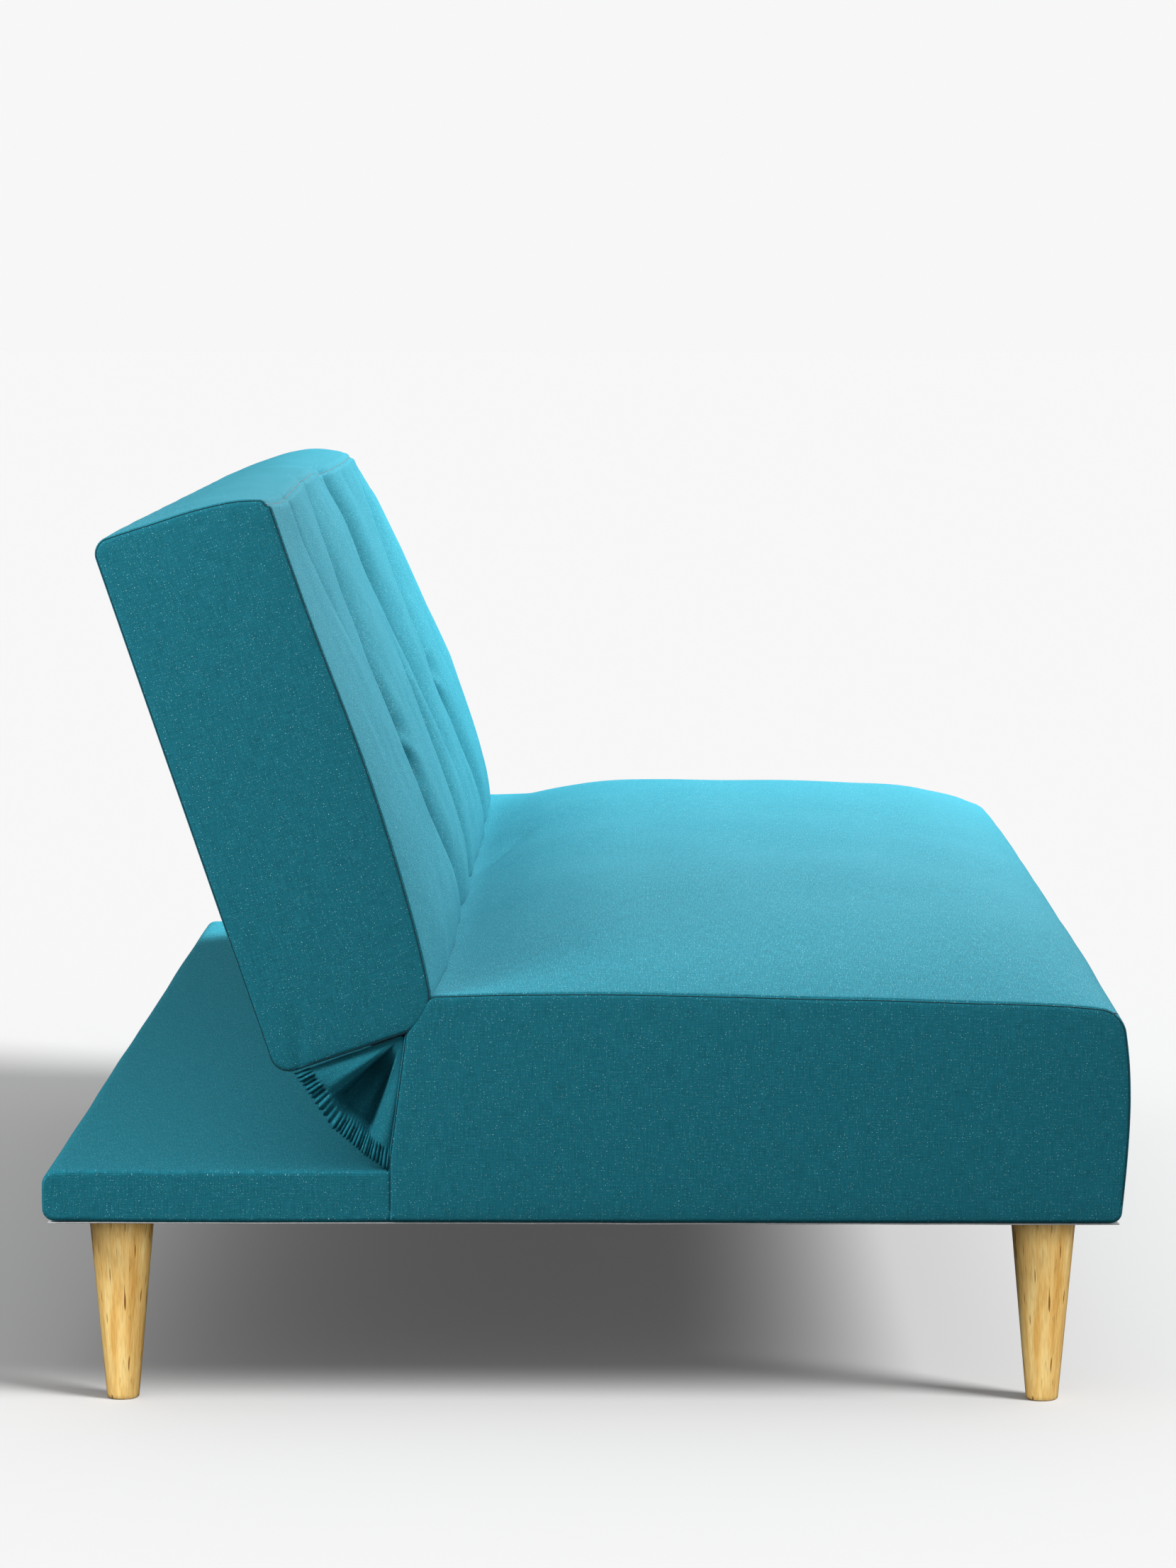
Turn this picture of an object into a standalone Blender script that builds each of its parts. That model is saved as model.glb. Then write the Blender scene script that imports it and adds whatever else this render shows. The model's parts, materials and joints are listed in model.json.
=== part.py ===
"""A click-clack futon sofa bed: an upholstered base on four turned legs, and a backrest that folds flat.

Metres, +Z up and +X along the sofa. The front faces -Y, and the origin is on the floor, under the middle.
The backrest turns on two steel hinges in the crease, and lies flat on the thin ledge behind the seat.
"""

from math import asin, atan2, cos, pi, radians, sin, tan

import bmesh
import bpy
from mathutils import Matrix, Vector

# Overall sizes
WIDTH = 1.700  # seam to seam along the sofa
SEAT_DEPTH = 0.609  # front seam to the seat's back face
LEDGE_DEPTH = 0.288  # the shelf behind the seat that carries the folded backrest
LEG_HEIGHT = 0.162
SEAT_TOP_BACK = 0.353  # heights of the seat's top seam
SEAT_TOP_FRONT = 0.3415
LEDGE_TOP = 0.207
FRONT_SWELL = 0.011  # how far the seat's front stands out of its end seams
SEAT_CROWN = 0.026

# Backrest, measured square to its back face
BACK_LEAN = radians(18.8)
BACK_HEIGHT = 0.466
BACK_FRONT_HEIGHT = 0.455
BACK_THICK_BOTTOM = 0.142
BACK_THICK_TOP = 0.153
BACK_CROWN = 0.020
BACK_TOP_CROWN = 0.010

# Upholstery layers
COVER = 0.0012
WADDING = 0.0050
PADDING_ROOM = 0.0080  # from the outside of a cover to the wood behind it
LEDGE_PAD = 0.0030
LINING = 0.0012
SEAT_FOAM_BOTTOM = 0.2728
TUFT_SPREAD = 0.3825  # each tuft's distance from the middle
TUFT_HEIGHT = 0.210  # above the backrest's bottom face
TIE_RADIUS = 0.0015
TOGGLE_RADIUS = 0.010

# Wooden frames
RAIL_HEIGHT = 0.034
RAIL_WIDTH = 0.030
SEAT_FRAME_TOP = 0.265
END_BOARD = 0.022
CROSS_BOARD = 0.022
BACK_FRAME_DEPTH = 0.060
BACK_PANEL = 0.003
LEDGE_BOARD = 0.0035
CORNER_BLOCK = 0.085
WOOD_BEVEL = 0.0015

# Seat springs
SPRINGS = 6
SPRING_WIRE = 0.0019
SPRING_LOOP = 0.022  # half the width across the loops
SPRING_LEGS = 18

# Legs and their fixings
LEG_INSET_X = 0.075
LEG_INSET_Y = 0.059
LEG_TOP_RADIUS = 0.028
LEG_FOOT_RADIUS = 0.0135
BOLT_RADIUS = 0.0039
BOLT_IN_LEG = 0.042
NUT_BARREL = 0.0056
NUT_FLANGE = 0.011
NUT_FLANGE_THICK = 0.0015
NUT_DEPTH = 0.012

# Hinges
HINGE_STEEL = 0.003
HINGE_BAR = 0.012  # half the bar's width
HINGE_EYE = HINGE_BAR + 0.002
ARM_IN_FRAME = 0.0115  # from the front of the backrest's frame to the middle of its hinge bar
RATCHET_TOOTH = 0.002
RIVET_RADIUS = 0.004
RIVET_HEAD = 0.008
RIVET_HEAD_THICK = 0.0025
PIVOT_ABOVE_BOTTOM = 0.0073  # the backrest's bottom face lies this far beyond the pivot
PIVOT_FROM_FRONT = 0.0405  # the pivot's depth behind the backrest's front face

# Clearances
GAP = 0.0004  # between pieces that touch
RUNNING = 0.0001  # between the rivet and its holes
CREASE_GAP = 0.003  # seat to backrest when folded flat
LEDGE_GAP = 0.002  # ledge to backrest when folded flat
HINGE_ROOM = 0.0035  # around the hinge bars inside the upholstery
EYE_ROOM = 0.0058  # around the toothed eye, where the other bar swings past
HOLE_ROOM = 0.0004  # around bolts, nuts and ties

# Places that follow from the sizes above
HALF = WIDTH / 2
FRAME_HALF = HALF - PADDING_ROOM
FRONT = FRONT_SWELL - (FRONT_SWELL + SEAT_DEPTH + LEDGE_DEPTH) / 2
CREASE = FRONT + SEAT_DEPTH
LEDGE_BACK = CREASE + LEDGE_DEPTH
HEM = LEG_HEIGHT + LINING + GAP  # lower edge of the covers and frames
RAIL_TOP = HEM + RAIL_HEIGHT
BACK_FACE = BACK_THICK_BOTTOM - PIVOT_FROM_FRONT  # the pivot's distance to the backrest's back face
PIVOT = Vector((CREASE + CREASE_GAP - PIVOT_ABOVE_BOTTOM, LEDGE_TOP + LEDGE_GAP + BACK_FACE))
BACK_BOARD_IN = FRAME_HALF - END_BOARD
BACK_PLATE_X = BACK_BOARD_IN - GAP - HINGE_STEEL / 2
SEAT_PLATE_X = BACK_PLATE_X - HINGE_STEEL - GAP
SEAT_BOARD_IN = SEAT_PLATE_X + HINGE_STEEL / 2 + GAP
CROSS_HALF = SEAT_PLATE_X - HINGE_STEEL / 2 - GAP  # half length of boards that pass inside the hinges
BACK_FRAME_BACK = BACK_FACE - PADDING_ROOM
BACK_FRAME_FRONT = BACK_FRAME_BACK - BACK_FRAME_DEPTH
BACK_PANEL_FRONT = BACK_FRAME_FRONT - GAP - BACK_PANEL
BACK_BOTTOM = PIVOT_ABOVE_BOTTOM

SEAT_CORNERS = [
    Vector((CREASE, LEDGE_TOP + GAP)),
    Vector((CREASE, PIVOT.y - 0.008)),
    Vector((PIVOT.x - 0.067, SEAT_TOP_BACK)),
    Vector((FRONT, SEAT_TOP_FRONT)),
    Vector((FRONT, HEM)),
]
SEAT_RADII = [0.020, 0.030, 0.018]
SEAT_CROWNS = [0.0, 0.0, SEAT_CROWN, FRONT_SWELL]
BACK_CORNERS = [
    Vector((BACK_FACE - LINING - GAP, BACK_BOTTOM + BACK_HEIGHT)),
    Vector((BACK_FACE - BACK_THICK_TOP, BACK_BOTTOM + BACK_FRONT_HEIGHT)),
    Vector((-PIVOT_FROM_FRONT, BACK_BOTTOM)),
    Vector((BACK_FACE - LINING - GAP, BACK_BOTTOM)),
]
BACK_RADII = [0.018, 0.035]
BACK_CROWNS = [BACK_TOP_CROWN, BACK_CROWN, 0.0]
LEDGE_CORNERS = [
    Vector((LEDGE_BACK, HEM)),
    Vector((LEDGE_BACK, LEDGE_TOP)),
    Vector((CREASE + GAP, LEDGE_TOP)),
]
LEDGE_RADII = [0.010]
SEAT_ARM = [PIVOT, PIVOT + Vector((-0.062, -0.048)), PIVOT + Vector((-0.062, -0.090))]
BACK_ARM = [
    Vector((0.0, 0.0)),
    Vector((BACK_FRAME_FRONT + ARM_IN_FRAME, 0.048)),
    Vector((BACK_FRAME_FRONT + ARM_IN_FRAME, 0.130)),
]
STATIONS = [-1.0, -0.95, -0.84, -0.55, 0.0, 0.55, 0.84, 0.95, 1.0]


def clear_scene():
    for item in list(bpy.data.objects):
        bpy.data.objects.remove(item, do_unlink=True)


def new_collection(name):
    made = bpy.data.collections.new(name)
    bpy.context.scene.collection.children.link(made)
    return made


def finish(name, colour, roughness, metallic=0.0):
    """A plain surface for one kind of material."""
    made = bpy.data.materials.new(name)
    made.use_nodes = True
    shader = made.node_tree.nodes["Principled BSDF"]
    shader.inputs["Base Color"].default_value = (*colour, 1.0)
    shader.inputs["Roughness"].default_value = roughness
    shader.inputs["Metallic"].default_value = metallic
    return made


clear_scene()
PARTS = new_collection("futon_sofa_bed")
CUTTERS = new_collection("cutters")
FABRIC = finish("teal_linen_weave", (0.045, 0.33, 0.40), 0.9)
WADDING_WHITE = finish("polyester_wadding", (0.85, 0.85, 0.84), 0.95)
FOAM = finish("polyurethane_foam", (0.86, 0.80, 0.58), 0.9)
LINING_GREY = finish("non_woven_lining", (0.55, 0.57, 0.58), 0.9)
PINE = finish("pine", (0.66, 0.47, 0.27), 0.6)
BEECH = finish("lacquered_beech", (0.62, 0.40, 0.20), 0.4)
PLYWOOD = finish("plywood", (0.60, 0.45, 0.28), 0.65)
STEEL = finish("zinc_plated_steel", (0.62, 0.63, 0.64), 0.35, 1.0)
SPRING_STEEL = finish("spring_steel", (0.22, 0.22, 0.23), 0.4, 1.0)
TWINE = finish("nylon_twine", (0.80, 0.80, 0.76), 0.8)


def make_pivot():
    """The hinge axis. Everything on the backrest hangs from it: local Z runs up the leaning backrest."""
    pivot = bpy.data.objects.new("backrest_pivot", None)
    pivot.location = (0.0, PIVOT.x, PIVOT.y)
    pivot.rotation_euler = (-BACK_LEAN, 0.0, 0.0)
    PARTS.objects.link(pivot)
    return pivot


BACKREST = make_pivot()


def place(name, data, material, parent=None, location=(0.0, 0.0, 0.0), rotation=(0.0, 0.0, 0.0)):
    made = bpy.data.objects.new(name, data)
    PARTS.objects.link(made)
    made.parent = parent
    made.location = location
    made.rotation_euler = rotation
    data.materials.append(material)
    return made


def mesh_from(name, build):
    """A mesh made by a function that fills a bmesh."""
    mesh = bpy.data.meshes.new(name)
    shape = bmesh.new()
    build(shape)
    bmesh.ops.recalc_face_normals(shape, faces=shape.faces)
    shape.to_mesh(mesh)
    shape.free()
    return mesh


def board(name, low, high, material=PINE, parent=None):
    """A straight piece of timber or sheet between two corners, its edges just broken."""
    low, high = Vector(low), Vector(high)
    size = high - low
    mesh = mesh_from(name, lambda shape: bmesh.ops.create_cube(shape, size=1.0, matrix=Matrix.Diagonal((*size, 1.0))))
    made = place(name, mesh, material, parent, (low + high) / 2)
    bevel = made.modifiers.new("broken_edges", "BEVEL")
    bevel.width = min(WOOD_BEVEL, min(size) / 4)
    bevel.segments = 1
    return made


def turned(name, profile, material, parent=None, location=(0.0, 0.0, 0.0), rotation=(0.0, 0.0, 0.0), steps=24):
    """A round piece: a profile of (radius, height) points turned about its own Z axis."""
    mesh = bpy.data.meshes.new(name)
    points = [(radius, 0.0, height) for radius, height in profile]
    mesh.from_pydata(points, [(i, i + 1) for i in range(len(points) - 1)], [])
    made = place(name, mesh, material, parent, location, rotation)
    screw = made.modifiers.new("turning", "SCREW")
    screw.steps = steps
    screw.render_steps = steps
    screw.use_merge_vertices = True
    screw.merge_threshold = 0.00005
    screw.use_smooth_shade = True
    return made


def hide_cutter(made):
    for collection in list(made.users_collection):
        collection.objects.unlink(made)
    CUTTERS.objects.link(made)
    made.hide_render = True
    made.display_type = "WIRE"
    return made


def round_cutter(name, radius, start, end, parent=None):
    """A cylinder between two points, for drilling."""
    start, end = Vector(start), Vector(end)
    turn = Vector((0.0, 0.0, 1.0)).rotation_difference(end - start).to_euler()
    depth = (end - start).length

    def build(shape):
        bmesh.ops.create_cone(shape, cap_ends=True, segments=24, radius1=radius, radius2=radius, depth=depth)

    return hide_cutter(place(name, mesh_from(name, build), STEEL, parent, (start + end) / 2, turn))


def cut(targets, cutter):
    for target in targets:
        boolean = target.modifiers.new("cut_" + cutter.name, "BOOLEAN")
        boolean.operation = "DIFFERENCE"
        boolean.object = cutter


def inset(corners, distance):
    """The same line of sides moved inwards, to the left of the way it runs. Its two ends slide square to an axis."""
    moved = []
    for index, corner in enumerate(corners):
        normals = []
        for a, b in ((index - 1, index), (index, index + 1)):
            if a >= 0 and b < len(corners):
                along = (corners[b] - corners[a]).normalized()
                normals.append(Vector((-along.y, along.x)))
        if len(normals) == 2:
            shift = (normals[0] + normals[1]) / (1 + normals[0].dot(normals[1]))
        elif abs(normals[0].x) > abs(normals[0].y):
            shift = Vector((1 / normals[0].x, 0.0))
        else:
            shift = Vector((0.0, 1 / normals[0].y))
        moved.append(corner + shift * distance)
    return moved


def rounded(before, corner, after, radius, steps=4):
    """The arc that rounds one corner."""
    come = (corner - before).normalized()
    leave = (after - corner).normalized()
    turn = come.angle_signed(leave, 0.0)
    middle = corner + (leave - come).normalized() * radius / cos(turn / 2)
    start = corner - come * radius * tan(abs(turn) / 2) - middle
    arc = []
    for step in range(steps + 1):
        spoke = start.copy()
        spoke.rotate(Matrix.Rotation(-turn * step / steps, 2))
        arc.append(middle + spoke)
    return arc


def section(corners, radii, crowns, swell, side_steps=5):
    """Points along the sides: rounded where two sides meet, and crowned outwards in between."""
    pieces = [[corners[0]]]
    for before, corner, after, radius in zip(corners, corners[1:], corners[2:], radii):
        pieces.append(rounded(before, corner, after, radius))
    pieces.append([corners[-1]])
    points = []
    for piece, following, crown in zip(pieces, pieces[1:], crowns):
        points += piece
        start, end = piece[-1], following[0]
        outwards = Vector((end.y - start.y, start.x - end.x)).normalized()
        if crown:
            for step in range(1, side_steps):
                share = step / side_steps
                points.append(start.lerp(end, share) + outwards * crown * swell * 4 * share * (1 - share))
    return points + pieces[-1]


def skin(shape, outline, half, depth, under):
    """One surface of a cushion layer, with its end panels. Gives its rows of points and the rim of its opening."""
    corners, radii, crowns = outline
    half -= depth
    lines = inset(corners, depth)
    turns = [max(radius - depth, 0.004) for radius in radii]
    rows = []
    for u in STATIONS:
        rows.append([shape.verts.new((half * u, y, z)) for y, z in section(lines, turns, crowns, 1 - u**4)])
    for row, following in zip(rows, rows[1:]):
        for i in range(len(row) - 1):
            shape.faces.new((row[i], row[i + 1], following[i + 1], following[i]))
    extras = []
    for row, x in ((rows[0], -half), (rows[-1], half)):
        extras.append([shape.verts.new((x, *under(depth)))] if under else [])
        shape.faces.new(row + extras[-1])
    rim = [row[0] for row in rows] + extras[1] + [row[-1] for row in reversed(rows)] + extras[0]
    return rows, rim


def loft(name, outline, half, material, parent=None, depth=0.0, shell=0.0, under=None):
    """A cushion layer lying a depth inside the outline: a closed solid, or a wrapper of a thickness.

    A wrapper is open between its two hems. Where these lie at different heights, under gives the corner
    between them on the end panels.
    """

    def build(shape):
        rows, rim = skin(shape, outline, half, depth, under)
        if shell:
            pairs = list(zip(rim, skin(shape, outline, half, depth + shell, under)[1]))
            for (outer, inner), (next_outer, next_inner) in zip(pairs, pairs[1:] + pairs[:1]):
                shape.faces.new((outer, next_outer, next_inner, inner))
        else:
            for row, following in zip(rows, rows[1:]):
                shape.faces.new((row[-1], row[0], following[0], following[-1]))

    return place(name, mesh_from(name, build), material, parent)


def bar_outline(path, half_width, eye, tooth=0.0, eye_steps=20, end_steps=6):
    """A bent bar with a round eye about its first point, as a flat outline. Odd eye points stand out as teeth."""
    first = path[1] - path[0]
    heading = atan2(first.y, first.x)
    spread = asin(half_width / eye)
    points = []
    for step in range(eye_steps + 1):
        angle = heading + spread + (2 * pi - 2 * spread) * step / eye_steps
        reach = eye + (tooth if step % 2 else 0.0)
        points.append(path[0] + reach * Vector((cos(angle), sin(angle))))
    right = inset(path, -half_width)
    left = inset(path, half_width)
    points += right[1:-1]
    last = path[-1] - path[-2]
    heading = atan2(last.y, last.x)
    for step in range(end_steps + 1):
        angle = heading - pi / 2 + pi * step / end_steps
        points.append(path[-1] + half_width * Vector((cos(angle), sin(angle))))
    return points + left[-2:0:-1]


def circle(centre, radius, steps=24):
    return [centre + radius * Vector((cos(2 * pi * i / steps), sin(2 * pi * i / steps))) for i in range(steps)]


def flat_piece(name, outlines, thickness, x, material, parent=None):
    """A flat piece square to X: the first outline is its edge, and any others are holes."""
    curve = bpy.data.curves.new(name, "CURVE")
    curve.dimensions = "2D"
    curve.fill_mode = "BOTH"
    curve.extrude = thickness / 2
    for outline in outlines:
        spline = curve.splines.new("POLY")
        spline.points.add(len(outline) - 1)
        spline.use_cyclic_u = True
        for point, place_at in zip(spline.points, outline):
            point.co = (place_at.x, place_at.y, 0.0, 1.0)
    return place(name, curve, material, parent, (x, 0.0, 0.0), (pi / 2, 0.0, pi / 2))


def bar_cutter(name, path, x_low, x_high, parent=None):
    """The pocket that a hinge bar needs in the upholstery, with room for the other bar's eye."""
    eye = HINGE_EYE + RATCHET_TOOTH + EYE_ROOM
    outline = bar_outline(path, HINGE_BAR + HINGE_ROOM, eye)

    def build(shape):
        face = shape.faces.new([shape.verts.new((x_low, y, z)) for y, z in outline])
        grown = bmesh.ops.extrude_face_region(shape, geom=[face])["geom"]
        moved = [item for item in grown if isinstance(item, bmesh.types.BMVert)]
        bmesh.ops.translate(shape, verts=moved, vec=(x_high - x_low, 0.0, 0.0))

    return hide_cutter(place(name, mesh_from(name, build), STEEL, parent))


def make_base_frame():
    """Five rails lying flat on the legs, with a block in each corner for the leg's bolt."""
    low_y, high_y = FRONT + PADDING_ROOM, LEDGE_BACK - PADDING_ROOM
    inner = FRAME_HALF - RAIL_WIDTH - GAP
    block_in = inner - CORNER_BLOCK
    for side, name in ((-1, "left"), (1, "right")):
        ends = sorted((side * FRAME_HALF, side * (FRAME_HALF - RAIL_WIDTH)))
        board("base_rail_" + name, (ends[0], low_y, HEM), (ends[1], high_y, RAIL_TOP))
    middle_back = CREASE - PADDING_ROOM
    for name, start in (("front", low_y), ("middle", middle_back - RAIL_WIDTH), ("back", high_y - RAIL_WIDTH)):
        board("base_rail_" + name, (-inner, start, HEM), (inner, start + RAIL_WIDTH, RAIL_TOP))
    fronts = {"front": low_y + RAIL_WIDTH + GAP, "back": high_y - RAIL_WIDTH - GAP - CORNER_BLOCK}
    top = RAIL_TOP - NUT_FLANGE_THICK - 2 * GAP
    blocks = {}
    for end, start in fronts.items():
        for side, name in ((-1, "left"), (1, "right")):
            ends = sorted((side * block_in, side * inner))
            corner = f"{end}_{name}"
            blocks[corner] = board(
                "corner_block_" + corner, (ends[0], start, HEM), (ends[1], start + CORNER_BLOCK, top)
            )
    return blocks


def leg_places():
    x = HALF - LEG_INSET_X
    rows = {"front": FRONT + LEG_INSET_Y, "back": LEDGE_BACK - LEG_INSET_Y}
    return {f"{end}_{name}": (side * x, y) for end, y in rows.items() for side, name in ((-1, "left"), (1, "right"))}


def make_legs(blocks, lining):
    """Turned legs, each on a bolt that screws up into a flanged nut in its corner block."""
    top = LEG_HEIGHT - GAP
    hole = BOLT_RADIUS + HOLE_ROOM
    hole_bottom = top - BOLT_IN_LEG - HOLE_ROOM
    leg = [
        (hole, hole_bottom),
        (hole, top),
        (LEG_TOP_RADIUS - 0.0015, top),
        (LEG_TOP_RADIUS, top - 0.0015),
        (LEG_FOOT_RADIUS, 0.0015),
        (LEG_FOOT_RADIUS - 0.0015, 0.0),
        (0.0, 0.0),
    ]
    leg = [(0.0, hole_bottom)] + leg
    nut_top = RAIL_TOP - GAP
    nut_seat = nut_top - NUT_FLANGE_THICK
    nut = [
        (hole, nut_top),
        (NUT_FLANGE, nut_top),
        (NUT_FLANGE, nut_seat),
        (NUT_BARREL, nut_seat),
        (NUT_BARREL, nut_seat - NUT_DEPTH),
        (hole, nut_seat - NUT_DEPTH),
        (hole, nut_top),
    ]
    bolt = [
        (0.0, nut_top - 0.002),
        (BOLT_RADIUS - 0.001, nut_top - 0.002),
        (BOLT_RADIUS, nut_top - 0.003),
        (BOLT_RADIUS, top - BOLT_IN_LEG + 0.003),
        (BOLT_RADIUS - 0.002, top - BOLT_IN_LEG),
        (0.0, top - BOLT_IN_LEG),
    ]
    for corner, (x, y) in leg_places().items():
        turned("leg_" + corner, leg, BEECH, location=(x, y, 0.0), steps=28)
        turned("leg_nut_" + corner, nut, STEEL, location=(x, y, 0.0), steps=16)
        turned("leg_bolt_" + corner, bolt, STEEL, location=(x, y, 0.0), steps=16)
        hole_cutter = round_cutter(
            "leg_hole_" + corner, NUT_BARREL + HOLE_ROOM, (x, y, LEG_HEIGHT - 0.01), (x, y, RAIL_TOP + 0.01)
        )
        cut([blocks[corner], lining], hole_cutter)


def make_lining():
    """The pale lining stapled under the base."""
    edge = 0.004
    return board(
        "underside_lining",
        (edge - HALF, FRONT + edge, LEG_HEIGHT),
        (HALF - edge, LEDGE_BACK - edge, LEG_HEIGHT + LINING),
        LINING_GREY,
    )


def make_seat_frame():
    """Boards on edge that lift the springs off the base."""
    bottom = RAIL_TOP + GAP
    front, back = FRONT + PADDING_ROOM, CREASE - PADDING_ROOM
    inner_front, inner_back = front + CROSS_BOARD + GAP, back - CROSS_BOARD - GAP
    for side, name in ((-1, "left"), (1, "right")):
        ends = sorted((side * SEAT_BOARD_IN, side * FRAME_HALF))
        board("seat_board_" + name, (ends[0], inner_front, bottom), (ends[1], inner_back, SEAT_FRAME_TOP))
    board("seat_board_front", (-FRAME_HALF, front, bottom), (FRAME_HALF, front + CROSS_BOARD, SEAT_FRAME_TOP))
    board("seat_board_back", (-FRAME_HALF, back - CROSS_BOARD, bottom), (FRAME_HALF, back, SEAT_FRAME_TOP))
    brace_top = SEAT_FRAME_TOP - 0.020
    board("seat_brace", (-CROSS_BOARD / 2, inner_front, bottom), (CROSS_BOARD / 2, inner_back, brace_top))


def make_springs():
    """Sinuous springs from the front board to the back board."""
    start = FRONT + PADDING_ROOM + CROSS_BOARD / 2
    end = CREASE - PADDING_ROOM - CROSS_BOARD / 2
    pitch = (end - start) / SPRING_LEGS
    bend = pitch / 2
    height = SEAT_FRAME_TOP + SPRING_WIRE + GAP
    spacing = 2 * CROSS_HALF / SPRINGS
    for index in range(SPRINGS):
        points = []
        for leg in range(SPRING_LEGS + 1):
            side = 1 if leg % 2 else -1
            y = start + leg * pitch
            points.append((-side * (SPRING_LOOP - bend), y))
            points.append((side * (SPRING_LOOP - bend), y))
            if leg < SPRING_LEGS:
                points.append((side * SPRING_LOOP, y + bend))
        curve = bpy.data.curves.new(f"seat_spring_{index + 1}", "CURVE")
        curve.dimensions = "3D"
        curve.bevel_depth = SPRING_WIRE
        curve.bevel_resolution = 1
        curve.use_fill_caps = True
        spline = curve.splines.new("POLY")
        spline.points.add(len(points) - 1)
        for point, (x, y) in zip(spline.points, points):
            point.co = (x, y, 0.0, 1.0)
        middle = (index - (SPRINGS - 1) / 2) * spacing
        place(curve.name, curve, SPRING_STEEL, location=(middle, 0.0, height))


def make_seat_upholstery():
    """Foam on the springs, wadding round it and the sewn cover, open underneath."""
    foam_corners = [Vector((CREASE, SEAT_FOAM_BOTTOM))] + SEAT_CORNERS[1:4] + [Vector((FRONT, SEAT_FOAM_BOTTOM))]
    foam_outline = (foam_corners, SEAT_RADII, [0.0, 0.0, SEAT_CROWN, 0.0])
    outline = (SEAT_CORNERS, SEAT_RADII, SEAT_CROWNS)
    wadding_depth = COVER + GAP
    foam_depth = wadding_depth + WADDING + GAP

    def under(depth):
        return CREASE - depth, HEM

    foam = loft("seat_foam", foam_outline, HALF, FOAM, depth=foam_depth)
    wadding = loft(
        "seat_wadding", outline, HALF, WADDING_WHITE, depth=wadding_depth, shell=WADDING, under=under
    )
    cover = loft("seat_cover", outline, HALF, FABRIC, shell=COVER, under=under)
    return [foam, wadding, cover]


def make_ledge():
    """The board, thin pad and cover of the shelf behind the seat."""
    front = CREASE + GAP
    bottom = RAIL_TOP + GAP
    back = LEDGE_BACK - PADDING_ROOM
    board("ledge_board", (-FRAME_HALF, front, bottom), (FRAME_HALF, back, bottom + LEDGE_BOARD), PLYWOOD)
    outline = (LEDGE_CORNERS, LEDGE_RADII, [0.0, 0.0])

    def under(depth):
        return front, HEM

    loft("ledge_pad", outline, HALF, WADDING_WHITE, depth=COVER + GAP, shell=LEDGE_PAD, under=under)
    loft("ledge_cover", outline, HALF, FABRIC, shell=COVER, under=under)


def make_backrest_frame():
    """A ladder of boards, a thin panel on its front and a lining on its back."""
    bottom = BACK_BOTTOM + PADDING_ROOM
    top = BACK_BOTTOM + BACK_FRONT_HEIGHT - PADDING_ROOM
    near, far = BACK_FRAME_FRONT, BACK_FRAME_BACK
    for side, name in ((-1, "left"), (1, "right")):
        ends = sorted((side * BACK_BOARD_IN, side * FRAME_HALF))
        board("back_board_" + name, (ends[0], near, bottom), (ends[1], far, top), parent=BACKREST)
    for name, start in (("bottom", bottom), ("top", top - CROSS_BOARD)):
        board(
            "back_board_" + name, (-CROSS_HALF, near, start), (CROSS_HALF, far, start + CROSS_BOARD), parent=BACKREST
        )
    inner = (bottom + CROSS_BOARD + GAP, top - CROSS_BOARD - GAP)
    board(
        "back_brace",
        (-CROSS_BOARD / 2, near, inner[0]),
        (CROSS_BOARD / 2, far, inner[1]),
        parent=BACKREST,
    )
    panel = board(
        "back_panel",
        (-CROSS_HALF, BACK_PANEL_FRONT, bottom),
        (CROSS_HALF, BACK_PANEL_FRONT + BACK_PANEL, top),
        PLYWOOD,
        BACKREST,
    )
    edge = 0.004
    board(
        "back_lining",
        (edge - HALF, BACK_FACE - LINING, BACK_BOTTOM + edge),
        (HALF - edge, BACK_FACE, BACK_BOTTOM + BACK_HEIGHT - edge),
        LINING_GREY,
        BACKREST,
    )
    return panel


def make_backrest_upholstery():
    """Foam on the panel, wadding and the sewn cover, open at the back."""
    back = BACK_PANEL_FRONT - GAP
    top, front_top, front_bottom, bottom = BACK_CORNERS
    share = (back - front_top.x) / (top.x - front_top.x)
    foam_depth = COVER + WADDING + 2 * GAP
    foam_corners = [front_top.lerp(top, share), front_top, front_bottom, Vector((back, bottom.y))]
    foam_outline = (foam_corners, BACK_RADII, [0.0, BACK_CROWN, 0.0])
    outline = (BACK_CORNERS, BACK_RADII, BACK_CROWNS)
    foam = loft("back_foam", foam_outline, HALF, FOAM, BACKREST, depth=foam_depth)
    wadding = loft("back_wadding", outline, HALF, WADDING_WHITE, BACKREST, depth=COVER + GAP, shell=WADDING)
    cover = loft("back_cover", outline, HALF, FABRIC, BACKREST, shell=COVER)
    return [foam, wadding, cover]


def make_tuft_ties(panel, foam, wadding):
    """Twine that pulls the backrest's front in at two points, held by a toggle behind the panel."""
    height = BACK_BOTTOM + TUFT_HEIGHT
    front = -PIVOT_FROM_FRONT + 0.004
    back = BACK_PANEL_FRONT + BACK_PANEL + GAP
    length = back - front
    profile = [
        (0.0, length + 0.003),
        (TOGGLE_RADIUS, length + 0.003),
        (TOGGLE_RADIUS, length),
        (TIE_RADIUS, length),
        (TIE_RADIUS, 0.0),
        (0.0, 0.0),
    ]
    for side, name in ((-1, "left"), (1, "right")):
        x = side * TUFT_SPREAD
        turned("tuft_tie_" + name, profile, TWINE, BACKREST, (x, front, height), (-pi / 2, 0.0, 0.0), 12)
        hole = round_cutter(
            "tuft_hole_" + name, TIE_RADIUS + HOLE_ROOM, (x, front - 0.03, height), (x, back, height), BACKREST
        )
        cut([panel, foam, wadding], hole)


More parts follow.
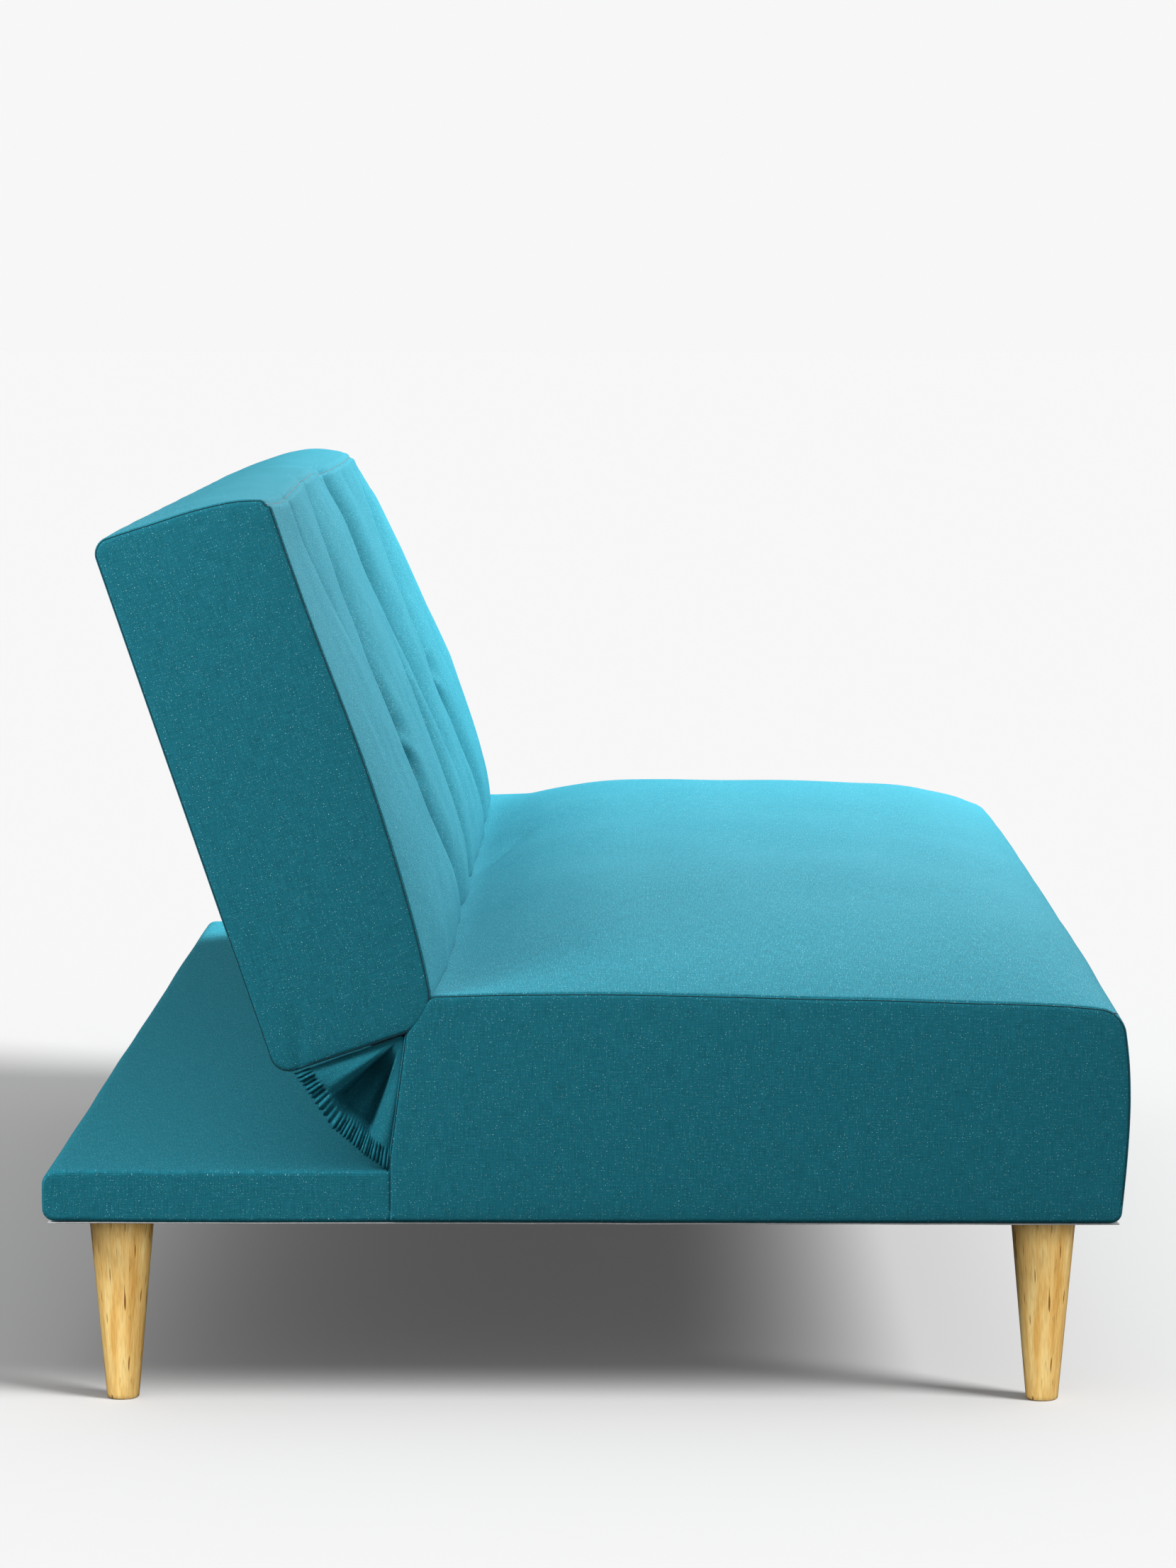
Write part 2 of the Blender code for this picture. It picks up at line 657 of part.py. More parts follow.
def make_hinges(seat_layers, back_layers):
    """Two flat bars a side on one rivet. The backrest's bar has a toothed eye for the ratchet's steps."""
    rivet_hole = RIVET_RADIUS + RUNNING
    inner = SEAT_PLATE_X - HINGE_STEEL / 2 - GAP
    outer = BACK_PLATE_X + HINGE_STEEL / 2 + GAP
    rivet = [
        (0.0, outer + RIVET_HEAD_THICK),
        (RIVET_HEAD - 0.001, outer + RIVET_HEAD_THICK),
        (RIVET_HEAD, outer + RIVET_HEAD_THICK - 0.001),
        (RIVET_HEAD, outer),
        (RIVET_RADIUS, outer),
        (RIVET_RADIUS, inner),
        (RIVET_HEAD, inner),
        (RIVET_HEAD, inner - RIVET_HEAD_THICK + 0.001),
        (RIVET_HEAD - 0.001, inner - RIVET_HEAD_THICK),
        (0.0, inner - RIVET_HEAD_THICK),
    ]
    seat_outline = [bar_outline(SEAT_ARM, HINGE_BAR, HINGE_EYE), circle(PIVOT, rivet_hole)]
    back_outline = [
        bar_outline(BACK_ARM, HINGE_BAR, HINGE_EYE, RATCHET_TOOTH),
        circle(Vector((0.0, 0.0)), rivet_hole),
    ]
    pocket = (inner - RIVET_HEAD_THICK - HINGE_ROOM, outer + RIVET_HEAD_THICK + HINGE_ROOM)
    for side, name in ((-1, "left"), (1, "right")):
        flat_piece("hinge_seat_bar_" + name, seat_outline, HINGE_STEEL, side * SEAT_PLATE_X, STEEL)
        flat_piece("hinge_back_bar_" + name, back_outline, HINGE_STEEL, side * BACK_PLATE_X, STEEL, BACKREST)
        turn = (0.0, side * pi / 2, 0.0)
        turned("hinge_rivet_" + name, rivet, STEEL, location=(0.0, PIVOT.x, PIVOT.y), rotation=turn)
        low, high = sorted((side * pocket[0], side * pocket[1]))
        cut(seat_layers, bar_cutter("seat_pocket_" + name, SEAT_ARM, low, high))
        cut(back_layers, bar_cutter("back_pocket_" + name, BACK_ARM, low, high, BACKREST))


def make_gussets():
    """The gathered wedge of cloth at each end that hides the hinge, between the seat and the backrest."""
    up = Vector((sin(BACK_LEAN), cos(BACK_LEAN)))
    back = Vector((cos(BACK_LEAN), -sin(BACK_LEAN)))
    crease = CREASE + 2 * GAP
    lower = Vector((crease, LEDGE_TOP + 0.002))
    under = PIVOT + up * (BACK_BOTTOM - 2 * GAP)
    apex = under + back * ((crease - under.x) / back.x)
    tip = under + back * (BACK_FACE - 0.014)
    sag = (lower + tip) / 2 + (lower + tip - 2 * apex).normalized() * 0.022
    hem = [tip.lerp(sag, t / 6).lerp(sag.lerp(lower, t / 6), t / 6) for t in range(7)]
    for side, name in ((-1, "left"), (1, "right")):
        x = side * (HALF - 0.0055)
        flat_piece("gusset_" + name, [[apex] + hem], COVER, x, FABRIC)


def main():
    lining = make_lining()
    blocks = make_base_frame()
    make_legs(blocks, lining)
    make_seat_frame()
    make_springs()
    seat_layers = make_seat_upholstery()
    make_ledge()
    panel = make_backrest_frame()
    back_layers = make_backrest_upholstery()
    make_tuft_ties(panel, back_layers[0], back_layers[1])
    make_hinges(seat_layers, back_layers)
    make_gussets()


main()
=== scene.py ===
"""Looks of a teal futon sofa bed, as a Blender add-on that is also run as a script.

Lengths are in metres. X runs along the sofa, -Y is its front and Z is up. Sections are in (y, z).
The backrest's cushion is worked out in its own upright section, with the hinge at the origin.
"""

import json
import math

import bpy
import numpy as np
from mathutils import Matrix, Vector
from mathutils.geometry import delaunay_2d_cdt

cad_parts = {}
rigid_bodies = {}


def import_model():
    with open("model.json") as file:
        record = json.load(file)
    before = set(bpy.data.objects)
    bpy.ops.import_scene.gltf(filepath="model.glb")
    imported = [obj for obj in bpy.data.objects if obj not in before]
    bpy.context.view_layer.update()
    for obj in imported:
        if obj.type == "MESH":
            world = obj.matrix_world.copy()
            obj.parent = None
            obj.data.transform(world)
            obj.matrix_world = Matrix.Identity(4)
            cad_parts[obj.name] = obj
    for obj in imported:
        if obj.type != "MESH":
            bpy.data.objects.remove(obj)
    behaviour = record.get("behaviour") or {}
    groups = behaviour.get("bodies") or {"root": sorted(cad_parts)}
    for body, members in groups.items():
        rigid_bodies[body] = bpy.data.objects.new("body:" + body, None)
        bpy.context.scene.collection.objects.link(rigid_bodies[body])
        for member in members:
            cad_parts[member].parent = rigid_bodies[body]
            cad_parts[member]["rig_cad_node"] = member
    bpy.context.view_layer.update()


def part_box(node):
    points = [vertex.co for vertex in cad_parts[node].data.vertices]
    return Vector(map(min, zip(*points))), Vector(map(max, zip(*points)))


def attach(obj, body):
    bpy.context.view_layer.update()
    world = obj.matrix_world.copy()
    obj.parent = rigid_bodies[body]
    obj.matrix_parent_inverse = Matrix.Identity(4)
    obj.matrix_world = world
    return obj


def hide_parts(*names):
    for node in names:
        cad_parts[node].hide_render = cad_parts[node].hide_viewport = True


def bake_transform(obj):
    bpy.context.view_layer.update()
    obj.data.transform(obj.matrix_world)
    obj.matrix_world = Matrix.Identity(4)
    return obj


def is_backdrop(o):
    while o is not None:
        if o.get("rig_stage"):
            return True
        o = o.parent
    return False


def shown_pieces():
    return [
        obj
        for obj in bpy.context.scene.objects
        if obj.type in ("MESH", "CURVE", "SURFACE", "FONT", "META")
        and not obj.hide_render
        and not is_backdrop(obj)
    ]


bl_info = {
    "name": "Futon Sofa Bed",
    "version": (1, 0, 0),
    "blender": (4, 5, 0),
    "location": "3D View > Sidebar > Sofa Bed",
    "description": "Builds the upholstery, legs and studio of a click-clack futon sofa bed",
    "category": "Object",
}

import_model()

HALF = 0.850  # half the length, seam to seam
LEAN = math.radians(18.8)  # of the backrest, from upright
PIVOT = (0.1617, 0.3105)  # the backrest's hinge
HEM = 0.1636  # height of the covers' lower edge
LEG_HEIGHT = 0.162
# Radius of the dark lines of painted shade along the seams.
SEAM_SHADE_RADIUS = 0.0004
GROOVE_WIDTH = 0.0016  # how far an end seam's groove spreads
END_CROWN = 0.0055  # how far the seat rises at its very ends
FRONT_SWELL, FRONT_END_SWELL = 0.005, 0.007  # of the seat: what its middle adds, and all along
CREASE_DEPTH = 0.005  # in the seat, where the backrest presses on it
TUFT_RADIUS = 0.020
LEFT_SIDE, RIGHT_SIDE = 0.9, 0.62  # a fold's width on each of its sides, as shares of its half width
FOLD_SCALE, FOLD_SHARPNESS = 1.35, 1.15
GUSSET_INSET = 0.0045  # from the end panels to the gusset's cloth
GUSSET_HEM = 0.128  # length of the gusset's elastic hem
LINING_THICKNESS = 0.0008
FLOOR_REACH = 60.0
BACKDROP = 0.93  # brightness behind the sofa
CAMERA_PLACE = (-5.181, -0.0357, 0.9485)
CAMERA_YAW, CAMERA_PITCH = math.radians(0.472), math.radians(-5.519)
SIDES = ((-1, "left"), (1, "right"))

# Corners of each section, counter-clockwise, and the radius of each.
SEAT_CORNERS = [
    (0.166, HEM), (0.166, 0.215), (0.1520, 0.3215), (0.1315, 0.3540), (-0.443, 0.3415), (-0.443, HEM),
]
SEAT_RADII = [0.0035, 0.060, 0.010, 0.012, 0.018, 0.008]
BACK_CORNERS = [(0.0999, 0.0073), (0.0999, 0.4755), (-0.0515, 0.4623), (-0.0405, 0.0073)]
BACK_RADII = [0.017, 0.013, 0.009, 0.030]
LEDGE_CORNERS = [(0.1625, HEM), (0.454, HEM), (0.454, 0.207), (0.1625, 0.207)]
LEDGE_RADII = [0.0055, 0.010, 0.012, 0.0055]

# Folds in the backrest's front: height above the hinge, place along the sofa, depth, half width.
FOLDS = {
    "near_tuft": [(0.47, -0.30, 0.002, 0.05), (0.42, -0.31, 0.009, 0.05), (0.35, -0.33, 0.015, 0.05),
                  (0.27, -0.365, 0.020, 0.045), (0.217, -0.3825, 0.023, 0.038), (0.15, -0.375, 0.018, 0.045),
                  (0.08, -0.31, 0.010, 0.05), (0.02, -0.25, 0.002, 0.05)],
    "centre": [(0.47, 0.0, 0.002, 0.02), (0.43, 0.0, 0.009, 0.024), (0.35, 0.01, 0.014, 0.028),
               (0.2, 0.0, 0.017, 0.034), (0.1, -0.02, 0.015, 0.036), (0.03, -0.03, 0.009, 0.036)],
    "centre_far": [(0.47, 0.08, 0.002, 0.05), (0.42, 0.10, 0.013, 0.05), (0.35, 0.12, 0.019, 0.055),
                   (0.28, 0.14, 0.018, 0.055), (0.2, 0.15, 0.012, 0.055), (0.12, 0.15, 0.005, 0.05),
                   (0.04, 0.13, 0.001, 0.05)],
    "far_tuft": [(0.47, 0.54, 0.002, 0.05), (0.38, 0.50, 0.013, 0.055), (0.28, 0.43, 0.019, 0.05),
                 (0.217, 0.3825, 0.023, 0.038), (0.15, 0.40, 0.016, 0.045), (0.08, 0.45, 0.009, 0.05),
                 (0.02, 0.50, 0.002, 0.05)],
    "near_end": [(0.47, -0.67, 0.001, 0.02), (0.44, -0.64, 0.004, 0.025), (0.36, -0.58, 0.003, 0.03),
                 (0.28, -0.54, 0.0, 0.03)],
    "far_end": [(0.42, 0.70, 0.0, 0.03), (0.36, 0.69, 0.005, 0.035), (0.24, 0.66, 0.005, 0.04),
                (0.15, 0.64, 0.0, 0.04)],
}
TUFTS = ((-0.3825, 0.2173), (0.3825, 0.2173))
# The top front seam: place along the sofa, shift back, shift up.
TOP_SEAM = [(-0.85, 0.0, 0.0), (-0.78, -0.0025, -0.0035), (-0.5, 0.001, -0.002), (-0.25, 0.005, -0.001),
            (-0.06, 0.010, -0.002), (0.0, 0.013, -0.006), (0.05, 0.0105, -0.0065), (0.25, 0.004, -0.007),
            (0.5, 0.004, -0.006), (0.85, 0.004, -0.004)]

TEAL = "#247E90"
# Colour of the pale flecks, which are partly pale yarn and partly painted glints.
FLECK_AND_GLINT_COLOUR = "#A9EDF5"


def linear(code):
    """Linear colour, with alpha, of an sRGB hex code."""
    parts = [int(code[i : i + 2], 16) / 255 for i in (1, 3, 5)]
    return tuple(p / 12.92 if p <= 0.04045 else ((p + 0.055) / 1.055) ** 2.4 for p in parts) + (1.0,)


def smooth(low, high, value):
    """0 below low, 1 above high, and a smooth step between them."""
    t = np.clip((value - low) / (high - low), 0.0, 1.0)
    return t * t * (3 - 2 * t)


def table(rows, value, column):
    """The column's value at a place in a list of rows, on a smooth curve through them, in either order."""
    places, values = np.array([(r[0], r[column]) for r in sorted(rows)]).T
    slopes = np.gradient(values, places)
    value = np.clip(value, places[0], places[-1])
    i = np.clip(np.searchsorted(places, value, side="right") - 1, 0, len(places) - 2)
    width = places[i + 1] - places[i]
    t = (value - places[i]) / width
    ends = (1 + 2 * t) * (1 - t) ** 2 * values[i] + t * t * (3 - 2 * t) * values[i + 1]
    return ends + width * t * (1 - t) * ((1 - t) * slopes[i] - t * slopes[i + 1])


def ripples(u, v, size, seed, waves=9):
    """A smooth random field from -1 to 1, made of sine waves about size long."""
    rng = np.random.default_rng(seed)
    total = np.zeros(np.broadcast(u, v).shape)
    for _ in range(waves):
        turn, phase = rng.uniform(0, 2 * math.pi, 2)
        length = size * rng.uniform(0.7, 1.6)
        total += np.sin((u * math.cos(turn) + v * math.sin(turn)) * 2 * math.pi / length + phase)
    return total / math.sqrt(waves * 2)


# ---------------------------------------------------------------- materials


def node(tree, kind, inputs=None, **settings):
    """Adds a shader node with its settings. An input is a value, or a socket to link."""
    made = tree.nodes.new(kind)
    for name, value in settings.items():
        setattr(made, name, value)
    for name, value in (inputs or {}).items():
        if isinstance(value, bpy.types.NodeSocket):
            tree.links.new(value, made.inputs[name])
        else:
            made.inputs[name].default_value = value
    return made


def maths(tree, operation, first, second=0.0):
    return node(tree, "ShaderNodeMath", {0: first, 1: second}, operation=operation).outputs[0]


def ramp(tree, factor, stops):
    """A colour ramp with these (place, linear colour) stops."""
    made = node(tree, "ShaderNodeValToRGB", {"Fac": factor})
    elements = made.color_ramp.elements
    while len(elements) < len(stops):
        elements.new(0.5)
    for element, (place, colour) in zip(elements, stops):
        element.position, element.color = place, colour
    return made.outputs["Color"]


def mix(tree, factor, first, second, blend="MIX"):
    made = node(tree, "ShaderNodeMix", data_type="RGBA", blend_type=blend)
    for index, value in ((0, factor), (6, first), (7, second)):
        if isinstance(value, bpy.types.NodeSocket):
            tree.links.new(value, made.inputs[index])
        else:
            made.inputs[index].default_value = value
    return made.outputs[2]


def stretched(tree, vector, scale):
    return node(tree, "ShaderNodeMapping", {"Vector": vector, "Scale": scale}).outputs["Vector"]


def noise_of(tree, vector, scale, detail=2.0, roughness=0.5):
    inputs = {"Vector": vector, "Scale": scale, "Detail": detail, "Roughness": roughness}
    return node(tree, "ShaderNodeTexNoise", inputs).outputs["Fac"]


def new_material(name, **values):
    """A material of this name, its node tree and its Principled shader."""
    made = bpy.data.materials.new(name)
    made.use_nodes = True
    shader = made.node_tree.nodes["Principled BSDF"]
    for socket, value in values.items():
        shader.inputs[socket.replace("_", " ")].default_value = value
    return made, made.node_tree, shader


def link_bump(tree, shader, height, distance, strength):
    bump = node(tree, "ShaderNodeBump", {"Height": height, "Distance": distance, "Strength": strength})
    tree.links.new(bump.outputs["Normal"], shader.inputs["Normal"])


def linen(name, settings, colour=TEAL):
    """Linen-look plain weave: a grid of two yarns with painted shade between them and painted highlight on
    their crowns, thick and thin places, and pale flecks that are partly pale yarn and partly painted glints.
    """
    made, tree, shader = new_material(name, Roughness=0.88)
    shader.inputs["Sheen Weight"].default_value = settings.sheen
    shader.inputs["Sheen Roughness"].default_value = 0.45
    shader.inputs["Sheen Tint"].default_value = linear("#6FD3E0")
    shader.inputs["Specular IOR Level"].default_value = 0.05
    cloth = node(tree, "ShaderNodeUVMap", uv_map="cloth").outputs["UV"]
    threads = stretched(tree, cloth, (1 / settings.thread_spacing, 1 / settings.thread_spacing, 1.0))
    bands = {"Vector": threads, "Scale": math.pi / 10}
    warp = node(tree, "ShaderNodeTexWave", bands, bands_direction="X").outputs["Fac"]
    weft = node(tree, "ShaderNodeTexWave", bands, bands_direction="Y").outputs["Fac"]
    checker = node(tree, "ShaderNodeTexChecker", {"Vector": threads, "Scale": 1.0}).outputs["Fac"]
    over = mix(tree, checker, warp, weft)
    warp_slub = noise_of(tree, stretched(tree, threads, (0.9, 0.045, 1.0)), 1.0, 3.0, 0.6)
    weft_slub = noise_of(tree, stretched(tree, threads, (0.05, 0.9, 1.0)), 1.0, 3.0, 0.6)
    slub = maths(tree, "MULTIPLY", maths(tree, "ADD", warp_slub, weft_slub), 0.5)
    height = maths(tree, "ADD", maths(tree, "MULTIPLY", over, 0.6), slub)
    base = linear(colour)
    dark = tuple(0.64 * c for c in base[:3]) + (1.0,)
    light = tuple(min(1.0, 1.35 * c) for c in base[:3]) + (1.0,)
    tone = ramp(tree, slub, [(0.30, dark), (0.50, base), (0.68, light)])
    # Painted shade between the threads and painted highlight on their crowns, following the weave's height.
    weave_shade_and_highlight = ramp(tree, over, [(0.0, (0.70, 0.70, 0.70, 1)), (1.0, (1.22, 1.22, 1.22, 1))])
    shaded = mix(tree, 1.0, tone, weave_shade_and_highlight, "MULTIPLY")
    # Pale flecks: partly pale yarn, partly painted glints on the fibres.
    speck = noise_of(tree, threads, 0.7, 1.0, 0.6)
    edge = 0.755 - settings.fleck_and_glint_share
    spots = ramp(tree, speck, [(edge, (0, 0, 0, 1)), (edge + 0.03, (1, 1, 1, 1))])
    tree.links.new(mix(tree, spots, shaded, linear(FLECK_AND_GLINT_COLOUR)), shader.inputs["Base Color"])
    link_bump(tree, shader, height, 0.0006, 0.5)
    return made


def wood(name, colours, grain, roughness, flecks=0.0):
    """Straight-grained wood: long streaks along the grain axis, pores, and dark flecks if it has them."""
    made, tree, shader = new_material(name, Roughness=roughness)
    place = node(tree, "ShaderNodeTexCoord").outputs["Object"]
    along = [900.0, 900.0, 900.0]
    along[grain] = 22.0
    wide = [c / 6 for c in along]
    streak = noise_of(tree, stretched(tree, place, wide), 1.0, 4.0, 0.6)
    pore = noise_of(tree, stretched(tree, place, along), 1.0, 2.0, 0.5)
    tone = ramp(tree, streak, list(zip((0.32, 0.5, 0.66), (linear(c) for c in colours))))
    pores = ramp(tree, pore, [(0.35, (0.72, 0.66, 0.58, 1)), (0.55, (1, 1, 1, 1))])
    fine = mix(tree, 0.5, tone, pores, "MULTIPLY")
    if flecks:
        speck = noise_of(tree, stretched(tree, place, [c / 2.2 for c in along]), 1.0, 1.0, 0.4)
        spots = ramp(tree, speck, [(0.66 - flecks, (0, 0, 0, 1)), (0.72 - flecks, (1, 1, 1, 1))])
        fine = mix(tree, spots, fine, linear("#8A5A22"))
    tree.links.new(fine, shader.inputs["Base Color"])
    link_bump(tree, shader, pore, 0.0001, 0.4)
    return made


def mottled(name, colours, size, roughness, depth=0.0, metallic=0.0):
    """A plain finish with cloudy light and dark places about size across."""
    made, tree, shader = new_material(name, Roughness=roughness, Metallic=metallic)
    place = node(tree, "ShaderNodeTexCoord").outputs["Object"]
    cloud = noise_of(tree, place, 1 / size, 4.0, 0.6)
    tone = ramp(tree, cloud, [(0.35, linear(colours[0])), (0.65, linear(colours[1]))])
    tree.links.new(tone, shader.inputs["Base Color"])
    if depth:
        link_bump(tree, shader, cloud, depth, 0.6)
    return made


# ---------------------------------------------------------------- meshes


class Outline:
    """A closed section with rounded corners. Each point knows the one or two sides that swell under it."""

    def __init__(self, corners, radii, step, arc_step):
        corners = [np.array(c, float) for c in corners]
        count = len(corners)
        points, firsts, seconds = [], [], []
        bows = []
        for i in range(count):
            here = corners[i]
            back, ahead = corners[i - 1] - here, corners[(i + 1) % count] - here
            back, ahead = back / np.linalg.norm(back), ahead / np.linalg.norm(ahead)
            angle = math.acos(float(np.clip(back @ ahead, -1, 1)))
            reach = radii[i] / math.tan(angle / 2)
            middle = back + ahead
            centre = here + middle / np.linalg.norm(middle) * radii[i] / math.sin(angle / 2)
            bows.append((here + back * reach, here + ahead * reach, centre, math.pi - angle))
        for i in range(count):
            start, end, centre, turn = bows[i]
            steps = max(3, math.ceil(radii[i] * turn / arc_step))
            for k in range(steps + 1):
                t = k / steps
                swung = math.sin((1 - t) * turn) * (start - centre) + math.sin(t * turn) * (end - centre)
                points.append(centre + swung / math.sin(turn))
                firsts.append((i - 1) % count)
                seconds.append(i)
            following = bows[(i + 1) % count][0]
            steps = max(1, math.ceil(np.linalg.norm(following - end) / step))
            for k in range(1, steps):
                points.append(end + (following - end) * k / steps)
                firsts.append(i)
                seconds.append(i)
        self.points = np.array(points)
        self.corners = corners
        self.first, self.second = np.array(firsts), np.array(seconds)
        gaps = np.linalg.norm(np.roll(self.points, -1, 0) - self.points, axis=1)
        self.along = np.concatenate([[0.0], np.cumsum(gaps)])
        self.sides = []
        for i in range(count):
            run = corners[(i + 1) % count] - corners[i]
            length = np.linalg.norm(run)
            run = run / length
            place = np.clip((self.points - corners[i]) @ run / length, 0.0, 1.0)
            mine = (self.first == i) | (self.second == i)
            self.sides.append((np.array([run[1], -run[0]]), place, mine))

    def swell(self, points, side, amount):
        """Adds the outward swelling of one side, given as a function of the place along it, to the points."""
        outward, place, mine = self.sides[side]
        points += outward * (amount(place) * mine)[:, None]

    def groove(self, corner, width):
        """1 at a corner's middle, falling off over width."""
        distance = np.abs(self.along[:-1] - self.along[self.corner_index(corner)])
        return np.exp(-((distance / width) ** 2))

    def inside(self, edge, spacing):
        """Grid points inside the section, no nearer to its edge than about half the spacing."""
        low, high = edge.min(0), edge.max(0)
        ticks = [np.arange(l + spacing, h, spacing) for l, h in zip(low, high)]
        grid = np.stack(np.meshgrid(*ticks), -1).reshape(-1, 2)
        run = np.roll(edge, -1, 0) - edge
        keep = []
        for point in grid:
            away = point - edge
            cross = run[:, 0] * away[:, 1] - run[:, 1] * away[:, 0]
            keep.append(bool((cross > 0).mean() > 0.97 and np.hypot(*away.T).min() > 0.45 * spacing))
        return grid[keep]

    def middleness(self, points):
        """How far points are from every edge of the section: 0 on an edge, and 1 well inside."""
        total = np.ones(len(points))
        for corner, (outward, _, _) in zip(self.corners, self.sides):
            total *= 1 - np.exp(np.minimum((points - corner) @ outward, 0.0) / 0.035)
        return total

    def corner_index(self, corner):
        """The point in the middle of a rounded corner."""
        arc = np.flatnonzero((self.second == corner) & (self.first != self.second))
        return int(arc[len(arc) // 2])


def outward_normals(points):
    run = np.roll(points, -1, 0) - np.roll(points, 1, 0)
    run /= np.linalg.norm(run, axis=1)[:, None]
    return np.stack([run[:, 1], -run[:, 0]], 1)


def mesh_object(name, points, faces, uvs, material, rest=Matrix.Identity(4)):
    """A smooth-shaded object. uvs has one place in the cloth, in metres, for each corner of each face."""
    mesh = bpy.data.meshes.new(name)
    mesh.from_pydata([tuple(p) for p in points], [], faces)
    layer = mesh.uv_layers.new(name="cloth")
    layer.data.foreach_set("uv", np.asarray(uvs, np.float32).ravel())
    mesh.polygons.foreach_set("use_smooth", [True] * len(mesh.polygons))
    mesh.materials.append(material)
    mesh.update()
    made = bpy.data.objects.new(name, mesh)
    made.matrix_world = rest
    bpy.context.scene.collection.objects.link(made)
    return made


def end_insets(distance, seam, roll):
    """How far the section draws in at a distance from its end: a sewn groove, or a soft rolled edge."""
    if roll:
        near = np.clip(roll - distance, 0.0, roll)
        return roll - math.sqrt(max(roll * roll - float(near) ** 2, 0.0))
    return seam * math.exp(-((distance / GROOVE_WIDTH) ** 2))


def wrapped(name, outline, shape, material, seam=0.0016, roll=0.0, crown=0.003, step=0.005, end=None,
            rest=Matrix.Identity(4)):
    """Cloth wrapped round a section from end to end, with an end panel sewn in at each end.
    shape(x) gives the section's points at x; end(side, points) how far each point of a panel stands out."""
    fine = [0.0, 0.0006, 0.0013, 0.0021, 0.0032, 0.0050, 0.0080, 0.0120, 0.0165]
    if roll:
        fine = [roll * (1 - math.cos(math.pi / 2 * k / 8)) for k in range(9)]
    inner = HALF - fine[-1]
    count = math.ceil(2 * inner / step)
    stations = [-HALF + f for f in fine] + [(-1 + 2 * k / count) * inner for k in range(1, count)]
    stations += [HALF - f for f in reversed(fine)]
    loops = []
    for x in stations:
        points = shape(x)
        points = points - outward_normals(points) * end_insets(HALF - abs(x), seam, roll)
        loops.append(np.column_stack([np.full(len(points), x), points]))
    size = len(outline.points)
    rows = len(stations)
    verts = list(np.concatenate(loops))
    faces, uvs = [], []
    along = outline.along
    for j in range(rows - 1):
        for i in range(size):
            k = (i + 1) % size
            faces.append((j * size + k, (j + 1) * size + k, (j + 1) * size + i, j * size + i))
            here, ahead = stations[j], stations[j + 1]
            uvs += [(here, along[i + 1]), (ahead, along[i + 1]), (ahead, along[i]), (here, along[i])]
    rims = [(0.001, 0.0)] if roll else [(0.0006, 0.0006), (0.0015, 0.0011), (0.003, 0.0014)]
    for side, row in ((-1, 0), (1, rows - 1)):
        edge = loops[row][:, 1:]
        inward = -outward_normals(edge)
        rings = [(edge + inward * draw, np.full(size, out)) for draw, out in rims]
        before = row * size
        for ring, out in rings:
            first = len(verts)
            verts += list(np.column_stack([side * (HALF + out + (end(side, ring) if end else 0.0)), ring]))
            for i in range(size):
                k = (i + 1) % size
                quad = [before + i, before + k, first + k, first + i]
                faces.append(tuple(quad if side > 0 else quad[::-1]))
                uvs += [tuple(verts[v][1:]) for v in faces[-1]]
            before = first
        inner_points = outline.inside(rings[-1][0], step * 1.6)
        flat = np.concatenate([rings[-1][0], inner_points])
        loop = [(i, (i + 1) % size) for i in range(size)]
        filled = delaunay_2d_cdt([Vector(p) for p in flat], loop, [], 1, 1e-6)
        places = np.array([tuple(p) for p in filled[0]])
        out = rims[-1][1] + crown * outline.middleness(places) + (end(side, places) if end else 0.0)
        number = {}
        for index, sources in enumerate(filled[3]):
            on_rim = [before + s for s in sources if s < size]
            if on_rim:
                number[index] = on_rim[0]
            else:
                number[index] = len(verts)
                verts.append(np.array([side * (HALF + out[index]), *places[index]]))
        for triangle in filled[2]:
            corners = [number[v] for v in triangle]
            faces.append(tuple(corners if side > 0 else corners[::-1]))
            uvs += [tuple(verts[v][1:]) for v in faces[-1]]
    return mesh_object(name, verts, faces, uvs, material, rest)


def seam_shade_line(name, points, material, rest=Matrix.Identity(4)):
    """A dark tube along these points: painted seam shade."""
    curve = bpy.data.curves.new(name, "CURVE")
    curve.dimensions = "3D"
    curve.bevel_depth = SEAM_SHADE_RADIUS
    curve.bevel_resolution = 1
    line = curve.splines.new("POLY")
    line.points.add(len(points) - 1)
    for place, point in zip(line.points, points):
        place.co = (*point, 1.0)
    curve.materials.append(material)
    made = bpy.data.objects.new(name, curve)
    made.matrix_world = rest
    bpy.context.scene.collection.objects.link(made)
    return made


def end_seam(name, outline, shape, side, seam, material, rest=Matrix.Identity(4), skip=()):
    """The dark line of painted shade in the seam round an end panel, left out on the sides in skip."""
    points = shape(side * HALF)
    points = points - outward_normals(points) * (seam - 0.0002)
    keep = ~np.isin(outline.first, skip) & ~np.isin(outline.second, skip)
    order = np.flatnonzero(keep)
    gap = np.flatnonzero(np.diff(order) > 1)
    if len(gap):
        order = np.concatenate([order[gap[0] + 1 :], order[: gap[0] + 1]])
    line = [(side * (HALF + 0.0002), *points[i]) for i in order]
    return seam_shade_line(name, line, material, rest)


def backrest_rest():
    """The backrest's own section, in which it stands upright on the hinge, placed as it leans."""
    return Matrix.Translation((0.0, *PIVOT)) @ Matrix.Rotation(-LEAN, 4, "X")


# ---------------------------------------------------------------- upholstery


